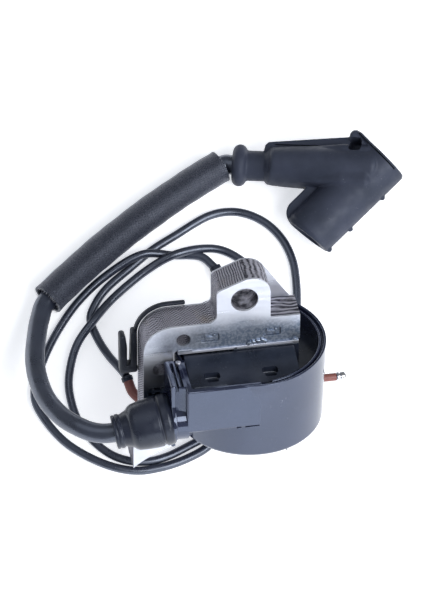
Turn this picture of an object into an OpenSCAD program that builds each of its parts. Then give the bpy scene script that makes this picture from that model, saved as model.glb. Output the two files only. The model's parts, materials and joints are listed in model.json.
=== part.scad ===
// Flywheel-magneto ignition coil of a small engine, lying on a bench with its plug lead and stop wire.
// The coil is drawn upright in its own frame: the origin is the centre of the mount hole on the front
// face, X runs along the cross bar, Y through the stack of sheets, and Z up to the mount ear.
// seated() then leans it back until its pole shoes and the pot's rear rim stand on the floor, z = 0.

/* [Core] */
// Thickness of the whole stack, end plates included
stack_t = 12.6; // [10:0.1:16]
// Thickness of each bright end plate
end_plate_t = 0.8; // [0.5:0.1:1.2]
// Diameter of the mount hole in the ear
mount_hole_d = 9.6; // [5:0.1:10]
// Diameter of the two small holes
small_hole_d = 5; // [3:0.1:5.5]
// Height of the cross bar
bar_h = 10.5; // [8:0.1:12]
// Outer radius of the bar's left shoulder
shoulder_r = 10.5; // [6:0.1:11]
// Width of each pole leg
leg_w = 10.7; // [9:0.1:12]
// Radius of the flywheel that the pole faces follow
flywheel_r = 42; // [38:0.5:50]

/* [Pot] */
// Outer radius of the round pot
pot_r = 26.6; // [26:0.1:28]
// Wall thickness of the pot
pot_wall = 2; // [1.5:0.1:2.5]
// Height of the pot's rim, below the mount hole
rim_z = -22.3; // [-23:0.1:-22]
// Height of the pot's underside, below the mount hole
pot_bottom_z = -54.5; // [-56:0.1:-53]
// Height of the flat-faced block at the pot's front
block_h = 18.2; // [16:0.1:20]

/* [Lead] */
// Diameter of the high-tension lead
lead_d = 7; // [6.8:0.1:7]
// Length of the rubber boot on the coil
boot_len = 19.8; // [18:0.1:24]
// Outer diameter of the protective sleeve
sleeve_d = 11.9; // [11:0.1:12]
// Bore of the protective sleeve
sleeve_bore_d = 10; // [9.6:0.1:10.2]
// Length of the protective sleeve, along its chord
sleeve_len = 80; // [60:1:80]
// Diameter of the stop wire
stop_wire_d = 3; // [2.4:0.1:3]

/* [Plug cap] */
// Outer diameter of the barrel that goes over the spark plug
barrel_d = 18.4; // [18:0.1:19]
// Length of the barrel
barrel_len = 40.3; // [38:0.1:42]
// Bore of the barrel, over the plug's insulator
plug_bore_d = 12; // [11:0.1:13]
// Depth of that bore
plug_bore_depth = 27; // [22:0.5:27]
// Diameter of the collar ring at the cap's mouth for the lead
collar_d = 14.3; // [13:0.1:14.3]

/* [Hidden] */
$fn = 64;
eps = 0.01;
gap = 0.1;

// Core outline, in x and z
bar_top = -8.9;
bar_bottom = bar_top - bar_h;
bar_left = -35.9;
bar_right = 19.8;
ear_left = -9.9;
ear_right = 9.3;
ear_corner_r = 6.8;
ear_top = 8.9;
foot_r = 3;
web_drop = 2.8;
web_angle = 34;
leg_right = bar_left + leg_w;
shoe_left = -39.6;
shoe_top = -52;
pole_mid_x = -12;
pole_tip_z = -69;
flywheel_z = pole_tip_z - sqrt(pow(flywheel_r, 2) - pow(pole_mid_x - shoe_left, 2));
hole_1 = [-21.7, -14.9];
hole_2 = [-30.1, -26.6];
stake_w = 6.4;
stake_h = 3.3;
stakes = [[-12.2, -15.1], [9.6, -15.1], [-31, -36], [-32, -57]];
key_h = 6;
key_w = 6;
key_x = 2.3;
pole_leg_x = 2.8;
pole_shoe_right = 2 * pole_mid_x - shoe_left;
pole_shoe_top = pot_bottom_z - 1.2;
shim_t = 1.2;

// Pot
pot_x = 2.8;
pot_y = 6.3;
pot_in_r = pot_r - pot_wall;
lip_r = pot_r - 4;
lip_depth = 4;
block_left = -24;
block_front = pot_y - pot_r;
block_back = -1;
block_bottom = rim_z - block_h;
deck_t = 2;
deck_z = rim_z - 1.6;
deck_right = 17.5;
deck_back = 17.5;
fill_top = deck_z - deck_t;
fill_bottom = pot_bottom_z + pot_wall;
aperture_w = leg_w + 0.4;
aperture_d = stack_t - end_plate_t + 0.4;
leg_mid_y = (end_plate_t + stack_t) / 2;

// Lead tower, in its own frame: x along the lead, away from the pot
tower_base = [-29.2, -12.5, -38.9];
tower_droop = 10.5;
tower_root_r = 7.7;
tower_start = -4;
tower_d = 13;
tower_len = 9;
tower_bore_depth = 5;
root_left = -27.8;
root_len = block_left + 1 - root_left;
root_front = -17.6;
root_back = -0.5;

// Windings, one inside the other around the pole leg
coil_top = fill_top;
coil_bottom = fill_bottom;
coil_h = coil_top - coil_bottom;
primary_tube_r = 9;
primary_r = 11.2;
secondary_tube_r = 12.4;
secondary_r = 16.8;
secondary_sections = 4;
flange_t = 1;

// Electronics, between the front wall and the windings
board = [26, 1.4, 11];
board_at = [-21, -17.4, -38.2];
board_rear = board_at[1] + board[1];

// Lean of the coil on the floor
lean = atan((pot_bottom_z - pole_tip_z) / (pot_y + pot_r - stack_t));
stub_x = 27.5;
stub_y = 15.4;
stub_z = -50;
stub_d = 2.8;
stub_len = 8.1;
ferrule_d = 3.3;
ferrule_len = 3.3;
boot_ring_r = 6.2;
function leaned(p) = [p[0], p[1] * cos(lean) + p[2] * sin(lean), -p[1] * sin(lean) + p[2] * cos(lean)];
coil_left_x = tower_base[0] - boot_len * cos(tower_droop) - boot_ring_r * sin(tower_droop);
coil_right_x = stub_x + stub_len + ferrule_len;
coil_front_y = leaned([0, pot_y - pot_r, pot_bottom_z])[1];
coil_rear_y = leaned([0, stack_t, ear_top])[1];
seat_at = [-(coil_left_x + coil_right_x) / 2, -(coil_front_y + coil_rear_y) / 2,
    -leaned([0, stack_t, pole_tip_z])[2]];
function seat(p) = seat_at + leaned(p);
function on_tower(t) = seat(tower_base + t * [-cos(tower_droop), 0, -sin(tower_droop)]);

// Sleeve: a gentle arc on the floor, given by the middle of its chord
sleeve_mid = [-21.4, 62.9];
sleeve_turn = 31.9;
sleeve_z = 6;
sleeve_arc_r = 320;
sleeve_half = asin(sleeve_len / 2 / sleeve_arc_r);
sleeve_rise = sleeve_arc_r * (1 - cos(sleeve_half));
sleeve_centre = sleeve_mid + (sleeve_rise - sleeve_arc_r) * [-sin(sleeve_turn), cos(sleeve_turn)];
// Point on the sleeve's centreline, from -1 at its left end to 1 at the cap's end
function on_sleeve(f) = let(a = 90 + sleeve_turn - f * sleeve_half)
    [sleeve_centre[0] + sleeve_arc_r * cos(a), sleeve_centre[1] + sleeve_arc_r * sin(a), sleeve_z];

// Plug cap: x along the lead into the cap, from the middle of the collar ring
cap_at = [18.6, 83.4, 7.1];
cap_turn = -12.63;
cap_pitch = 12;
cap_axis = [cos(cap_turn) * cos(cap_pitch), sin(cap_turn) * cos(cap_pitch), sin(cap_pitch)];
cap_lead_depth = 34;
barrel_turn = 36.1;
barrel_tilt = 13.9;
barrel_meet = 48.3;
barrel_back = 34;
barrel_axis = [cos(barrel_turn) * cos(barrel_tilt), sin(barrel_turn) * cos(barrel_tilt), sin(barrel_tilt)];
neck_r = 5.4;
neck_len = 11;
body_r = 6.6;
body_end_r = 8;
collar_t = 4.9;
spring_recess_r = 4;
spring_recess_len = 11;
spring_r = 3;
spring_wire_r = 0.5;
spring_turns = 4;
spring_len = 7.5;
function on_cap(t) = cap_at + t * cap_axis;
barrel_mouth = on_cap(barrel_meet) - barrel_back * barrel_axis;
rib_outline = [[10.4, 5], [10.4, 7.8], [39, 11], [44, 11], [44, 5]];
rib_w = 5;
wing_t = 4;
wing_reach = 12.2;
wing_len = 20;
wing_corner_r = 5;
mouth_slant = 7.6;
mouth_high_y = 7;
cap_flange_t = 3.6;
flange_reach = 12.6;
lug_r = 1.9;

// Route of the high-tension lead: out of the tower, down to the floor, through the sleeve, into the cap
lead_route = concat(
    [for (t = [-tower_bore_depth + gap, boot_len * 0.5, boot_len]) on_tower(t)],
    [[-49.4, -17.2, 34.2], [-54.9, -13.5, 31.8], [-59.6, -8, 28], [-63.2, 0, 23], [-64.6, 9, 18.5],
     [-64.2, 17.5, 14.5], [-62.2, 26, 10.8], [-59.4, 34.5, 7.6]],
    [for (f = [-1, -0.6, -0.2, 0.2, 0.6, 0.88]) on_sleeve(f)],
    [for (t = [-5, -1, 12, cap_lead_depth - gap]) on_cap(t)]);

// Route of the stop wire: from the kill lead's collar it loops over the top, passes under the pot, makes
// a full turn round the left side, passes under the pot again and ends in its terminal behind the ear
stop_route = [[-32.6, 8.6, 12.4], [-34.3, 13.5, 8.5], [-36.8, 19.5, 4.5], [-39.3, 27, 1.5], [-40.8, 34, 1.5],
    [-38.3, 39.5, 1.5], [-33.3, 45, 1.5], [-24.8, 51, 1.5], [-15.8, 57, 1.5], [-6.8, 61.5, 1.5],
    [6.2, 67.5, 1.5], [16.2, 68, 1.5], [24.7, 64, 1.5], [30.7, 57, 1.5], [33.7, 48, 1.5],
    [33.7, 38, 1.5], [32.2, 27, 1.5], [30.7, 16, 1.5], [29.2, 6, 1.5], [24.7, -3, 1.5],
    [16.2, -9, 1.5], [4.2, -10, 1.5], [-8.8, -14.5, 1.5], [-20.8, -19, 1.5], [-29.8, -20, 1.5],
    [-38.3, -17.5, 1.5], [-44.8, -12, 1.5], [-49.8, -4, 1.5], [-51.8, 5, 1.5], [-51.3, 14, 1.5],
    [-47.3, 24.5, 3], [-40.3, 32.5, 4.6], [-31.3, 41, 3], [-18.8, 49.5, 2.5], [-8.8, 53.5, 4.6],
    [1.7, 55.5, 2.5], [10.2, 54, 1.5], [17.7, 47.5, 1.5], [22.7, 37, 1.5], [25.2, 25, 1.5],
    [25.7, 13, 1.5], [24.7, 3, 1.5], [18.2, -4, 1.5], [8.2, -6, 2.5], [-0.8, -10, 4.6],
    [-5.3, -16.5, 2], [-13.8, -20.5, 1.5], [-23.8, -22.8, 1.5], [-33.8, -22.8, 1.5], [-44.8, -18.5, 1.5],
    [-55.8, -10, 1.5], [-62.8, 1, 1.5], [-64.3, 9.5, 1.5], [-60.3, 19.5, 1.5], [-53.8, 30, 1.5],
    [-44.3, 41, 1.5], [-32.8, 49.5, 2.5], [-19.8, 55, 4.6], [-8.3, 54.5, 1.5], [1.2, 53, 1.5],
    [5.7, 48.5, 1.5]];
terminal_turn = -70;
terminal_len = 11;
terminal_d = 4.2;

// Kill lead: brown, from the pot's rear left to the collar, passing behind the left leg
kill_out = [-20, 15, -50];
kill_route = [seat(kill_out), seat(kill_out - [4, 0, 0]), [-23.3, -1, 13.2], [-27.8, -0.8, 12.2],
    [-31, 2.6, 11.8], [-32.2, 6.8, 12.2]];
kill_lead_d = 3.6;
kill_collar_d = 4.2;

// Smooth curve through a route: Catmull-Rom, with `parts` rings to each stretch
function spline_at(a, b, c, d, f) = 0.5 * (2 * b + (c - a) * f + (2 * a - 5 * b + 4 * c - d) * f * f
    + (3 * b - a - 3 * c + d) * f * f * f);
function smooth(route, parts) = let(n = len(route)) concat(
    [for (i = [0 : n - 2], k = [0 : parts - 1]) spline_at(
        i == 0 ? 2 * route[0] - route[1] : route[i - 1], route[i], route[i + 1],
        i == n - 2 ? 2 * route[n - 1] - route[n - 2] : route[i + 2], k / parts)],
    [route[n - 1]]);
function unit(v) = v / norm(v);
function tangent(path, i) = unit(path[min(i + 1, len(path) - 1)] - path[max(i - 1, 0)]);
// Frame of each ring, carried along the path so that the tube doesn't twist
function side_start(t) = unit(cross(t, abs(t[2]) < 0.9 ? [0, 0, 1] : [1, 0, 0]));
function sides(path, i = 0, last = [0, 0, 0]) = i == len(path) ? [] :
    let(t = tangent(path, i), s = i == 0 ? side_start(t) : unit(last - (last * t) * t))
    concat([s], sides(path, i + 1, s));
module tube(path, r, n) {
    side = sides(path);
    rings = len(path);
    points = [for (i = [0 : rings - 1]) let(t = tangent(path, i), s = side[i], u = cross(t, s))
        for (k = [0 : n - 1]) path[i] + r * (cos(360 * k / n) * s + sin(360 * k / n) * u)];
    walls = [for (i = [0 : rings - 2], k = [0 : n - 1]) let(a = i * n + k, b = i * n + (k + 1) % n)
        [a, a + n, b + n, b]];
    polyhedron(points, concat([[for (k = [0 : n - 1]) k]], walls,
        [[for (k = [n - 1 : -1 : 0]) (rings - 1) * n + k]]), convexity = 10);
}

// Places a solid of the coil's own frame on the floor
module seated() {
    translate(seat_at)
        rotate([-lean, 0, 0])
            children();
}

// Extrudes an outline in x and z from y0, t thick
module slab(y0, t) {
    translate([0, y0 + t, 0])
        rotate([90, 0, 0])
            linear_extrude(t)
                children();
}

// Turns a solid drawn along +z into one along the lead tower, from the tower's face
module along_tower() {
    translate(tower_base)
        rotate([0, -90 - tower_droop, 0])
            children();
}

// Turns a solid drawn along +z into one along the plug cap's neck, or its barrel
module along_cap() {
    translate(cap_at)
        rotate([0, 90 - cap_pitch, cap_turn])
            children();
}
module along_barrel() {
    translate(barrel_mouth)
        rotate([0, 90 - barrel_tilt, barrel_turn])
            children();
}

// Points of an arc, in steps of 6 degrees or less
function arc(centre, r, from, to) = let(n = ceil(abs(to - from) / 6))
    [for (i = [0 : n]) let(a = from + (to - from) * i / n) centre + r * [cos(a), sin(a)]];

// Ear, cross bar and left leg in one line, anticlockwise from the bar's lower right corner. The rear
// plate has a web: a straight edge from the bar's right end to the rounded corner of the ear.
module sheet_outline(web) {
    polygon(concat(
        [[bar_right, bar_bottom]],
        web ? [[bar_right, bar_top - web_drop]] : [[bar_right, bar_top], [ear_right, bar_top]],
        arc([ear_right - ear_corner_r, ear_top - ear_corner_r], ear_corner_r, web ? web_angle : 0, 90),
        [[0.5, ear_top - 0.1], [-8.4, 5], [-9.4, 4.4], [ear_left, 3.4]],
        arc([ear_left - foot_r, bar_top + foot_r], foot_r, 0, -90),
        arc([bar_left + shoulder_r, bar_top - shoulder_r], shoulder_r, 90, 180),
        [[bar_left, shoe_top], [shoe_left, shoe_top - 5], [shoe_left, pole_tip_z],
         [leg_right, pole_tip_z], [leg_right, bar_bottom - 1], [leg_right + 1, bar_bottom]]));
}

module flywheel_outline() {
    translate([pole_mid_x, flywheel_z])
        circle(flywheel_r, $fn = 180);
}

module hole_outline() {
    circle(d = mount_hole_d);
    translate(hole_1)
        circle(d = small_hole_d);
    translate(hole_2)
        circle(d = small_hole_d);
}

module stake_outline() {
    for (at = stakes)
        translate(at)
            square([stake_w, stake_h], center = true);
}

// Tenon of the pole leg, up into the cross bar
module key_outline() {
    translate([key_x - key_w / 2, bar_bottom - eps])
        square([key_w, key_h + eps]);
}

module core_outline(web = false) {
    difference() {
        sheet_outline(web);
        flywheel_outline();
        hole_outline();
        stake_outline();
    }
}

module core_laminations() {
    color("#8f8a86")
        seated()
            slab(end_plate_t, stack_t - 2 * end_plate_t)
                difference() {
                    core_outline();
                    key_outline();
                }
}

module front_plate() {
    color("#c3c9d8")
        seated()
            slab(0, end_plate_t)
                core_outline();
}

module rear_gusset_plate() {
    color("#c3c9d8")
        seated()
            slab(stack_t - end_plate_t, end_plate_t)
                difference() {
                    core_outline(web = true);
                    key_outline();
                }
}

// The leg through the coil, keyed up into the cross bar, with a shoe that flares below the pot
module pole_leg() {
    left = pole_leg_x - leg_w / 2;
    color("#8f8a86")
        seated()
            slab(end_plate_t, stack_t - end_plate_t)
                difference() {
                    union() {
                        polygon([[left, bar_bottom], [left, pole_tip_z], [pole_shoe_right, pole_tip_z],
                            [pole_shoe_right, pole_shoe_top - 4], [left + leg_w, pole_shoe_top],
                            [left + leg_w, bar_bottom]]);
                        key_outline();
                    }
                    flywheel_outline();
                }
}

module interlock_stakes() {
    color("#9aa4b8")
        seated()
            for (at = stakes)
                translate([at[0], stack_t / 2, at[1]])
                    cube([stake_w, stack_t - 0.6, stake_h], center = true);
}

module bar_shim() {
    color("#7b8092")
        seated()
            difference() {
                union() {
                    translate([-23.8, -0.7, bar_bottom - shim_t])
                        cube([bar_right + 23.2, stack_t + 0.7, shim_t]);
                    translate([-23.8, -0.7, bar_bottom - eps])
                        cube([4.4, 0.7, 1.2]);
                }
                translate([pole_leg_x - leg_w / 2, end_plate_t, bar_bottom - shim_t - 1])
                    cube([leg_w, stack_t, shim_t + 2]);
            }
}

module round_pot(r, z0, z1) {
    translate([pot_x, pot_y, z0])
        cylinder(r = r, h = z1 - z0, $fn = 128);
}

// Inside of the pot and its block, below the deck
module pot_hollow(inset) {
    round_pot(pot_in_r - inset, fill_bottom, rim_z + 1);
    translate([block_left + pot_wall + inset, block_front + pot_wall + inset, block_bottom + pot_wall])
        cube([pot_x - block_left - pot_wall - inset, block_back - block_front - 2 * pot_wall - 2 * inset,
            block_h + 1]);
}

module coil_pot() {
    color("#2f3547")
        seated()
            difference() {
                union() {
                    round_pot(pot_r, pot_bottom_z, rim_z);
                    translate([block_left, block_front, block_bottom])
                        cube([pot_x - block_left, block_back - block_front, block_h]);
                    tower_root();
                    along_tower()
                        translate([0, 0, tower_start])
                            cylinder(d = tower_d, h = tower_len - tower_start);
                }
                pot_hollow(0);
                // Groove between the two lips of the rim
                translate([pot_x, pot_y, rim_z - 1.6])
                    rotate_extrude($fn = 128)
                        translate([pot_in_r - 0.4, 0])
                            square([1.2, 2]);
                // Opening for the pole leg
                translate([pole_leg_x - aperture_w / 2, leg_mid_y - aperture_d / 2, pot_bottom_z - 1])
                    cube([aperture_w, aperture_d, pot_wall + 2]);
                along_tower()
                    translate([0, 0, -tower_bore_depth])
                        cylinder(d = lead_d + 0.3, h = tower_len + tower_bore_depth + 1);
                // Passage of the contact screw into the block
                along_tower()
                    translate([0, 0, -tower_bore_depth - 4])
                        cylinder(d = 2.2, h = 5, $fn = 32);
                // Ways out of the brown kill lead and the test lead
                translate(kill_out + [1, 0, 0])
                    rotate([0, -90, 0])
                        cylinder(d = kill_lead_d + 0.2, h = 8, $fn = 32);
                translate([stub_x - 6, stub_y, stub_z])
                    rotate([0, 90, 0])
                        cylinder(d = stub_d + gap, h = 8, $fn = 32);
            }
}

// Root of the tower: flat on top like the block, round below, with two channels along its top
module tower_root() {
    difference() {
        union() {
            translate([root_left, root_front, tower_base[2]])
                cube([root_len, root_back - root_front, rim_z - tower_base[2]]);
            translate([root_left, tower_base[1], tower_base[2]])
                rotate([0, 90, 0])
                    cylinder(r = tower_root_r, h = root_len);
        }
        for (x = [root_left + 0.7, root_left + 2.6])
            translate([x, root_front + 1.2, rim_z - 1.2])
                cube([1, root_back - root_front - 2.4, 2]);
    }
}

module coil_deck() {
    color("#343a49")
        seated()
            difference() {
                intersection() {
                    pot_hollow(gap);
                    translate([block_left, block_front, deck_z - deck_t])
                        cube([deck_right - block_left, deck_back - block_front, deck_t]);
                }
                translate([pole_leg_x - aperture_w / 2, leg_mid_y - aperture_d / 2, deck_z - deck_t - 1])
                    cube([aperture_w, aperture_d, deck_t + 2]);
                for (x = [-11, 8])
                    translate([x, -12, deck_z - 0.8])
                        cube([5, 3, 2]);
            }
}

module earth_rivet() {
    color("#d8dbe2")
        seated()
            translate([-24.1, -2.7, rim_z])
                cylinder(d = 2.6, h = 0.6, $fn = 32);
}

module square_tube_hole(z0, z1) {
    translate([pole_leg_x - aperture_w / 2, leg_mid_y - aperture_d / 2, z0])
        cube([aperture_w, aperture_d, z1 - z0]);
}

module ring_solid(r0, r1, z0, z1) {
    translate([pole_leg_x, leg_mid_y, z0])
        difference() {
            cylinder(r = r1, h = z1 - z0);
            translate([0, 0, -1])
                cylinder(r = r0, h = z1 - z0 + 2);
        }
}

module primary_bobbin() {
    color("#3d3f46")
        seated()
            difference() {
                translate([pole_leg_x, leg_mid_y, coil_bottom]) {
                    cylinder(r = primary_tube_r, h = coil_h);
                    cylinder(r = primary_r, h = flange_t);
                    translate([0, 0, coil_h - flange_t])
                        cylinder(r = primary_r, h = flange_t);
                }
                square_tube_hole(coil_bottom - 1, coil_top + 1);
            }
}

module primary_winding() {
    color("#a5562c")
        seated()
            ring_solid(primary_tube_r, primary_r - 0.2, coil_bottom + flange_t, coil_top - flange_t);
}

module secondary_bobbin() {
    color("#d9cfae")
        seated() {
            ring_solid(primary_r + gap, secondary_tube_r, coil_bottom, coil_top);
            for (i = [0 : secondary_sections])
                ring_solid(secondary_tube_r - eps, secondary_r, coil_bottom
                    + i * (coil_h - flange_t) / secondary_sections, coil_bottom + flange_t
                    + i * (coil_h - flange_t) / secondary_sections);
        }
}

module secondary_winding() {
    pitch = (coil_h - flange_t) / secondary_sections;
    color("#b3672f")
        seated()
            for (i = [0 : secondary_sections - 1])
                ring_solid(secondary_tube_r, secondary_r - 0.4, coil_bottom + flange_t + i * pitch,
                    coil_bottom + (i + 1) * pitch);
}

module circuit_board() {
    color("#2f6b3c")
        seated()
            translate(board_at)
                cube(board);
}

// Places a component on the rear face of the board, x and z from the board's corner
module on_board(x, z) {
    translate([board_at[0] + x, board_rear, board_at[2] + z])
        children();
}

module charge_capacitor() {
    color("#a8332b")
        seated()
            on_board(3, 2)
                cube([9, 4, 7.5]);
}

module thyristor() {
    color("#25262a")
        seated()
            on_board(12.6, 5.4)
                cube([4.6, 3.6, 4.6]);
}

module trigger_choke() {
    color("#b0702c")
        seated()
            on_board(19.5, 2)
                translate([2, 1.6, 0])
                    cylinder(r = 1.6, h = 8, $fn = 32);
}

module rectifier_diode() {
    color("#1f2024")
        seated()
            on_board(12.6, 2.4)
                rotate([0, 90, 0])
                    translate([0, 1.3, 0])
                        cylinder(r = 1.3, h = 5, $fn = 32);
}

// Resin: fills the pot below the deck, around the windings, the board and the leg
module potting_fill() {
    color("#23252c")
        seated()
            difference() {
                intersection() {
                    pot_hollow(0);
                    translate([-60, -60, fill_bottom])
                        cube([120, 120, fill_top - 3 - fill_bottom]);
                }
                translate([pole_leg_x, leg_mid_y, fill_bottom - 1])
                    cylinder(r = secondary_r, h = 60);
                translate(board_at)
                    cube([board[0], 6.4, board[2] + 20]);
                along_tower()
                    translate([0, 0, -tower_bore_depth - 14])
                        cylinder(d = 5, h = 14, $fn = 32);
                translate(kill_out + [1, 0, 0])
                    rotate([0, -90, 0])
                        cylinder(d = kill_lead_d + 0.2, h = 12, $fn = 32);
                translate([stub_x - 5, stub_y, stub_z])
                    rotate([0, 90, 0])
                        cylinder(d = stub_d + gap, h = 5, $fn = 32);
            }
}

module ht_spike() {
    color("#c9a45a")
        seated()
            along_tower()
                translate([0, 0, -tower_bore_depth - 4]) {
                    cylinder(d = 1.8, h = 4, $fn = 32);
                    translate([0, 0, -1.2])
                        cylinder(d = 2.4, h = 1.2, $fn = 32);
                }
}

module lead_boot() {
    neck = 6.8;
    color("#2c3040")
        seated()
            along_tower()
                difference() {
                    union() {
                        translate([0, 0, gap])
                            cylinder(r = 9.3, h = 2.2);
                        translate([0, 0, 2])
                            cylinder(r = 8.8, h = 1);
                        translate([0, 0, 3])
                            cylinder(r = 9.1, h = 2.5);
                        translate([0, 0, 5.5])
                            cylinder(r1 = 8.9, r2 = 8.1, h = boot_len - neck - 5.5);
                        translate([0, 0, boot_len - neck - eps])
                            cylinder(r1 = 7, r2 = 5.6, h = neck - 2.2);
                        translate([0, 0, boot_len - 2.4])
                            cylinder(r = boot_ring_r, h = 2.4);
                    }
                    translate([0, 0, -1])
                        cylinder(d = tower_d + gap, h = tower_len + 1.2);
                    translate([0, 0, -1])
                        cylinder(d = lead_d + 0.2, h = boot_len + 2);
                }
}

module ht_lead() {
    color("#2a2e3d")
        tube(smooth(lead_route, 1), lead_d / 2, 8);
}

module lead_sleeve() {
    color("#20232e")
        translate([sleeve_mid[0], sleeve_mid[1], sleeve_z])
            rotate([0, 0, sleeve_turn])
                translate([0, sleeve_rise - sleeve_arc_r, 0])
                    rotate([0, 0, 90 - sleeve_half])
                        rotate_extrude(angle = 2 * sleeve_half, $fn = 360)
                            translate([sleeve_arc_r, 0])
                                difference() {
                                    circle(d = sleeve_d, $fn = 48);
                                    circle(d = sleeve_bore_d, $fn = 48);
                                }
}

module plug_cap() {
    color("#3b4358")
        difference() {
            union() {
                along_cap() {
                    rotate_extrude()
                        translate([collar_d / 2 - collar_t / 2, 0])
                            circle(d = collar_t, $fn = 32);
                    translate([0, 0, -1.4])
                        cylinder(r = neck_r, h = neck_len + 2);
                    translate([0, 0, neck_len])
                        cylinder(r1 = body_r, r2 = body_end_r, h = barrel_meet - neck_len - 3);
                }
                along_barrel()
                    cylinder(d = barrel_d, h = barrel_len, $fn = 96);
                cap_wing();
                cap_rib();
            }
            along_cap()
                translate([0, 0, -5])
                    cylinder(d = lead_d + 0.2, h = cap_lead_depth + 5);
            along_cap()
                cylinder(d = 2, h = barrel_meet, $fn = 32);
            along_barrel()
                translate([0, 0, -1])
                    cylinder(d = plug_bore_d, h = plug_bore_depth + 1);
            along_barrel()
                cylinder(r = spring_recess_r, h = plug_bore_depth + spring_recess_len);
            // The mouth is cut at a slight slant
            along_barrel()
                translate([-barrel_d, mouth_high_y, 0])
                    rotate([-mouth_slant, 0, 0])
                        translate([0, -2 * barrel_d, -barrel_d])
                            cube([2 * barrel_d, 2 * barrel_d, barrel_d]);
        }
}

// Flat wing along the barrel's inner side, from its rounded corner at the mouth to the neck
module cap_wing() {
    along_barrel()
        rotate([90, 0, 90])
            linear_extrude(wing_t, center = true)
                hull() {
                    square([1, wing_len]);
                    translate([wing_reach - 1, wing_len - 1])
                        square(1);
                    translate([wing_reach - wing_corner_r, wing_corner_r])
                        circle(wing_corner_r, $fn = 48);
                }
}

// Raised rib along the cap's upper edge, then the flange at the barrel's closed end with its finger lug
module cap_rib() {
    along_cap()
        rotate([0, 90, 0])
            linear_extrude(rib_w, center = true)
                polygon([for (p = rib_outline) [-p[0], p[1]]]);
    along_barrel()
        translate([0, 0, barrel_len - cap_flange_t]) {
            translate([-rib_w, 0, 0])
                cube([2 * rib_w, flange_reach, cap_flange_t]);
            translate([-rib_w, flange_reach, lug_r])
                rotate([0, 90, 0])
                    cylinder(r = lug_r, h = 2 * rib_w, $fn = 32);
        }
}

// Coil spring that grips the plug's terminal nut
module plug_spring() {
    steps = 12 * spring_turns;
    color("#b9bcc4")
        along_barrel()
            translate([0, 0, plug_bore_depth + 1])
                tube([for (i = [0 : steps]) [spring_r * cos(30 * i), spring_r * sin(30 * i),
                    spring_len * i / steps + spring_wire_r]], spring_wire_r, 6);
}

module spring_spike() {
    color("#b9bcc4")
        along_cap()
            translate([0, 0, cap_lead_depth])
                cylinder(r = 0.7, h = barrel_meet - cap_lead_depth - spring_r + 1, $fn = 24);
}

module kill_lead() {
    color("#7a4a48")
        tube(smooth(kill_route, 2), kill_lead_d / 2, 8);
}

module kill_lead_collar() {
    a = kill_route[len(kill_route) - 1];
    color("#1d2029")
        tube([a, stop_route[0]], kill_collar_d / 2, 8);
}

module stop_wire() {
    color("#2a2e3d")
        tube(smooth(stop_route, 1), stop_wire_d / 2, 8);
}

module stop_wire_terminal() {
    at = stop_route[len(stop_route) - 1];
    color("#1d2029")
        translate([at[0], at[1], terminal_d / 2])
            rotate([0, 90, terminal_turn])
                cylinder(d = terminal_d, h = terminal_len, $fn = 32);
}

// Clip for the wires: two prongs beside the left leg, on a strap that hugs the shoulder of the core
module wire_clip() {
    strap_t = 1.4;
    strap_y = 10.6;
    strap_w = 3.4;
    prong_left = -42.4;
    prong_w = 4.4;
    color("#20232e")
        seated() {
            slab(strap_y, strap_w) {
                difference() {
                    translate([bar_left + shoulder_r, bar_top - shoulder_r])
                        circle(shoulder_r + gap + strap_t);
                    translate([bar_left + shoulder_r, bar_top - shoulder_r])
                        circle(shoulder_r + gap);
                    translate([bar_left + shoulder_r, -60])
                        square([30, 60]);
                    translate([-60, -60])
                        square([60, 60 + bar_top - shoulder_r]);
                }
                translate([bar_left + shoulder_r - eps, bar_top + gap])
                    square([6.5, strap_t]);
                translate([bar_left - gap - strap_t, bar_top - shoulder_r - 15])
                    square([strap_t, 15 + eps]);
            }
            translate([prong_left, strap_y, -35.2]) {
                cube([bar_left - gap - 0.05 - prong_left, prong_w, 3.4]);
                for (x = [0, 3.6])
                    translate([x, 0, 3.3])
                        cube([2.7, prong_w, 13.4]);
            }
        }
}

module test_lead_stub() {
    color("#7a4a48")
        seated()
            translate([stub_x - 4.5, stub_y, stub_z])
                rotate([0, 90, 0])
                    cylinder(d = stub_d, h = stub_len + 4.5, $fn = 32);
}

module stub_ferrule() {
    color("#d5d8df")
        seated()
            translate([stub_x + stub_len, stub_y, stub_z])
                rotate([0, 90, 0])
                    cylinder(d = ferrule_d, h = ferrule_len, $fn = 32);
}

core_laminations();
front_plate();
rear_gusset_plate();
pole_leg();
interlock_stakes();
bar_shim();
coil_pot();
coil_deck();
earth_rivet();
potting_fill();
primary_bobbin();
primary_winding();
secondary_bobbin();
secondary_winding();
circuit_board();
charge_capacitor();
thyristor();
trigger_choke();
rectifier_diode();
ht_spike();
lead_boot();
ht_lead();
lead_sleeve();
plug_cap();
plug_spring();
spring_spike();
kill_lead();
kill_lead_collar();
stop_wire();
stop_wire_terminal();
wire_clip();
test_lead_stub();
stub_ferrule();
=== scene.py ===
"""Looks of a small-engine ignition coil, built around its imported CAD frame.

Lengths in the geometry code are millimetres; two matrices place them in the shared frame, in metres.
SEAT is for what is drawn upright in the coil's own frame: x to the right, y to the back and z up, from the
middle of the ear's hole. BENCH is for what lies on the bench.
"""

import json
import random
from math import asin, atan, cos, pi, radians, sin, tau

import bmesh
import bpy
from mathutils import Matrix, Vector

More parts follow.
